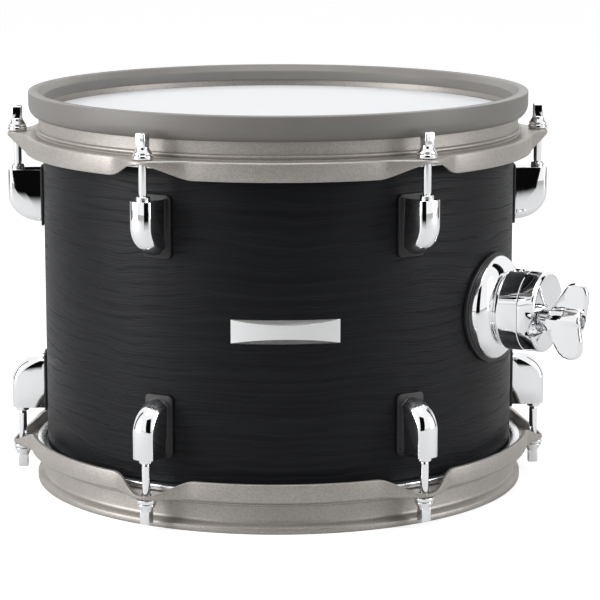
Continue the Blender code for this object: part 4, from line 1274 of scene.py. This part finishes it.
def make_wing_nut():
    hub = [(0, 182.8), (5.0, 182.8), (5.2, 183.2), (5.4, 186.0), (6.3, 193.5), (6.9, 200.0), (7.0, 210.2),
           (6.4, 211.2), (0, 211.2)]
    nut = lay_down(lathe("clamp_wing_nut", hub, 72))
    combine(nut, "UNION", make_wing(1), make_wing(-1))
    apply_modifier(nut, "REMESH", mode="VOXEL", voxel_size=0.42 * MM, use_smooth_shade=True)
    apply_modifier(nut, "SMOOTH", factor=0.5, iterations=10)
    combine(nut, "DIFFERENCE", drill("nut_bore", 4.3, 150, 240, 0, 0, 48))
    put(smooth(nut, 50), (0, 0, BOLT_LEVEL))
    return put_on_drum(nut, BRACKET_ANGLE)


hand_over(make_wing_nut(), chrome, "wing_nut", "chrome", "wing_nut")

# %% [markdown]
# ## Output jack
#
# The cable socket comes through the back of the shell: a moulded body with a threaded bush,
# and outside it a round steel plate with a hexagon nut.

# %% Jack plastic


def make_jack_plastic():
    plastic = Finish("jack_plastic_finish", Specular_IOR_Level=0.5)
    grain = plastic.noise(900.0, detail=2.0)
    sheen = plastic.noise(70.0, detail=3.0)
    plastic.set(Base_Color=plastic.blend(sheen, (0.010, 0.010, 0.011), (0.026, 0.026, 0.028)),
                Roughness=0.28 + 0.20 * grain)
    plastic.bump(grain, 0.00003, strength=0.5)
    return plastic


jack_plastic = shown(make_jack_plastic())

# %% Jack body and nut


def make_jack_body():
    body = brick("jack_body", (117.2, -8, -8), (143.0, 8, 8))
    soften(body, 0.8 * MM, 60, 3)
    bush = [(0, 135), (4.7, 135), (4.7, 151.0), *thread(151.0, 154.2, 4.95, 4.6), (4.6, 154.5),
            (4.3, 154.8), (0, 154.8)]
    combine(body, "UNION", lay_down(lathe("jack_bush", bush, 64)))
    combine(body, "DIFFERENCE", drill("socket", 3.4, 120, 170, 0, 0, 48))
    put(smooth(body, 32), (0, 0, JACK_LEVEL * MM))
    return put_on_drum(body, JACK_ANGLE)


def make_jack_nut():
    washer = [(5.4, 150.9), (10.8, 150.9), (11.0, 151.1), *arc((10.6, 151.5), 0.4, 0, 90, 3),
              (5.4, 151.9)]
    nut = lathe("jack_plate_nut", washer, 96)
    clear_bench()
    bpy.ops.mesh.primitive_cylinder_add(vertices=6, radius=7.8 * MM, depth=2.6 * MM)
    hexagon = put(named("hexagon"), (0, 0, 153.0 * MM))
    crown = soften(upright("crown", 7.35, 150.0, 156.0, 96), 1.0 * MM, 60, 3)
    combine(hexagon, "INTERSECT", put(crown, (0, 0, -1.7 * MM)))
    combine(nut, "UNION", hexagon)
    combine(nut, "DIFFERENCE", upright("hole", 5.4, 140, 170))
    soften(nut, 0.15 * MM, 40, 2)
    put(lay_down(smooth(nut, 32)), (0, 0, JACK_LEVEL * MM))
    return put_on_drum(nut, JACK_ANGLE)


hand_over(make_jack_body(), jack_plastic, "drum", "jack_plastic", "output_jack")
hand_over(make_jack_nut(), steel, "drum", "steel", "jack_nut")

# %% [markdown]
# ## What the frame already shapes well
#
# The sensor's bar, plate, disc and cone, its lead and two screws sit inside the drum. Their
# CAD shapes are right, so they only get their finishes.

# %% Brass and foam


def make_brass():
    brass = Finish("piezo_brass_finish", Metallic=1.0)
    tarnish = brass.noise(120.0, detail=4.0)
    brass.set(Base_Color=brass.blend(tarnish, (0.52, 0.36, 0.13), (0.80, 0.60, 0.28)),
              Roughness=0.22 + 0.25 * tarnish)
    brass.bump(tarnish, 0.00002, strength=0.4)
    return brass


def make_foam():
    foam = Finish("foam_finish", Specular_IOR_Level=0.2)
    cells = foam.node("ShaderNodeTexVoronoi", {"feature": "F1"}, {"Vector": foam.place, "Scale": 900.0})
    foam.set(Base_Color=foam.blend(cells, (0.030, 0.030, 0.033), (0.075, 0.075, 0.080)),
             Roughness=0.85 + 0.1 * cells)
    foam.bump(cells, 0.0004, strength=0.8)
    return foam


inner_finishes = {
    "bracket_screw_upper": steel, "bracket_screw_lower": steel, "sensor_bar": steel,
    "sensor_plate": spun_aluminium, "head_piezo": make_brass(), "foam_cone": make_foam(),
    "sensor_lead": black_rubber}
for node, finish in inner_finishes.items():
    dress(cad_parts[node], finish)
    print(node, "wears", finish.material.name)
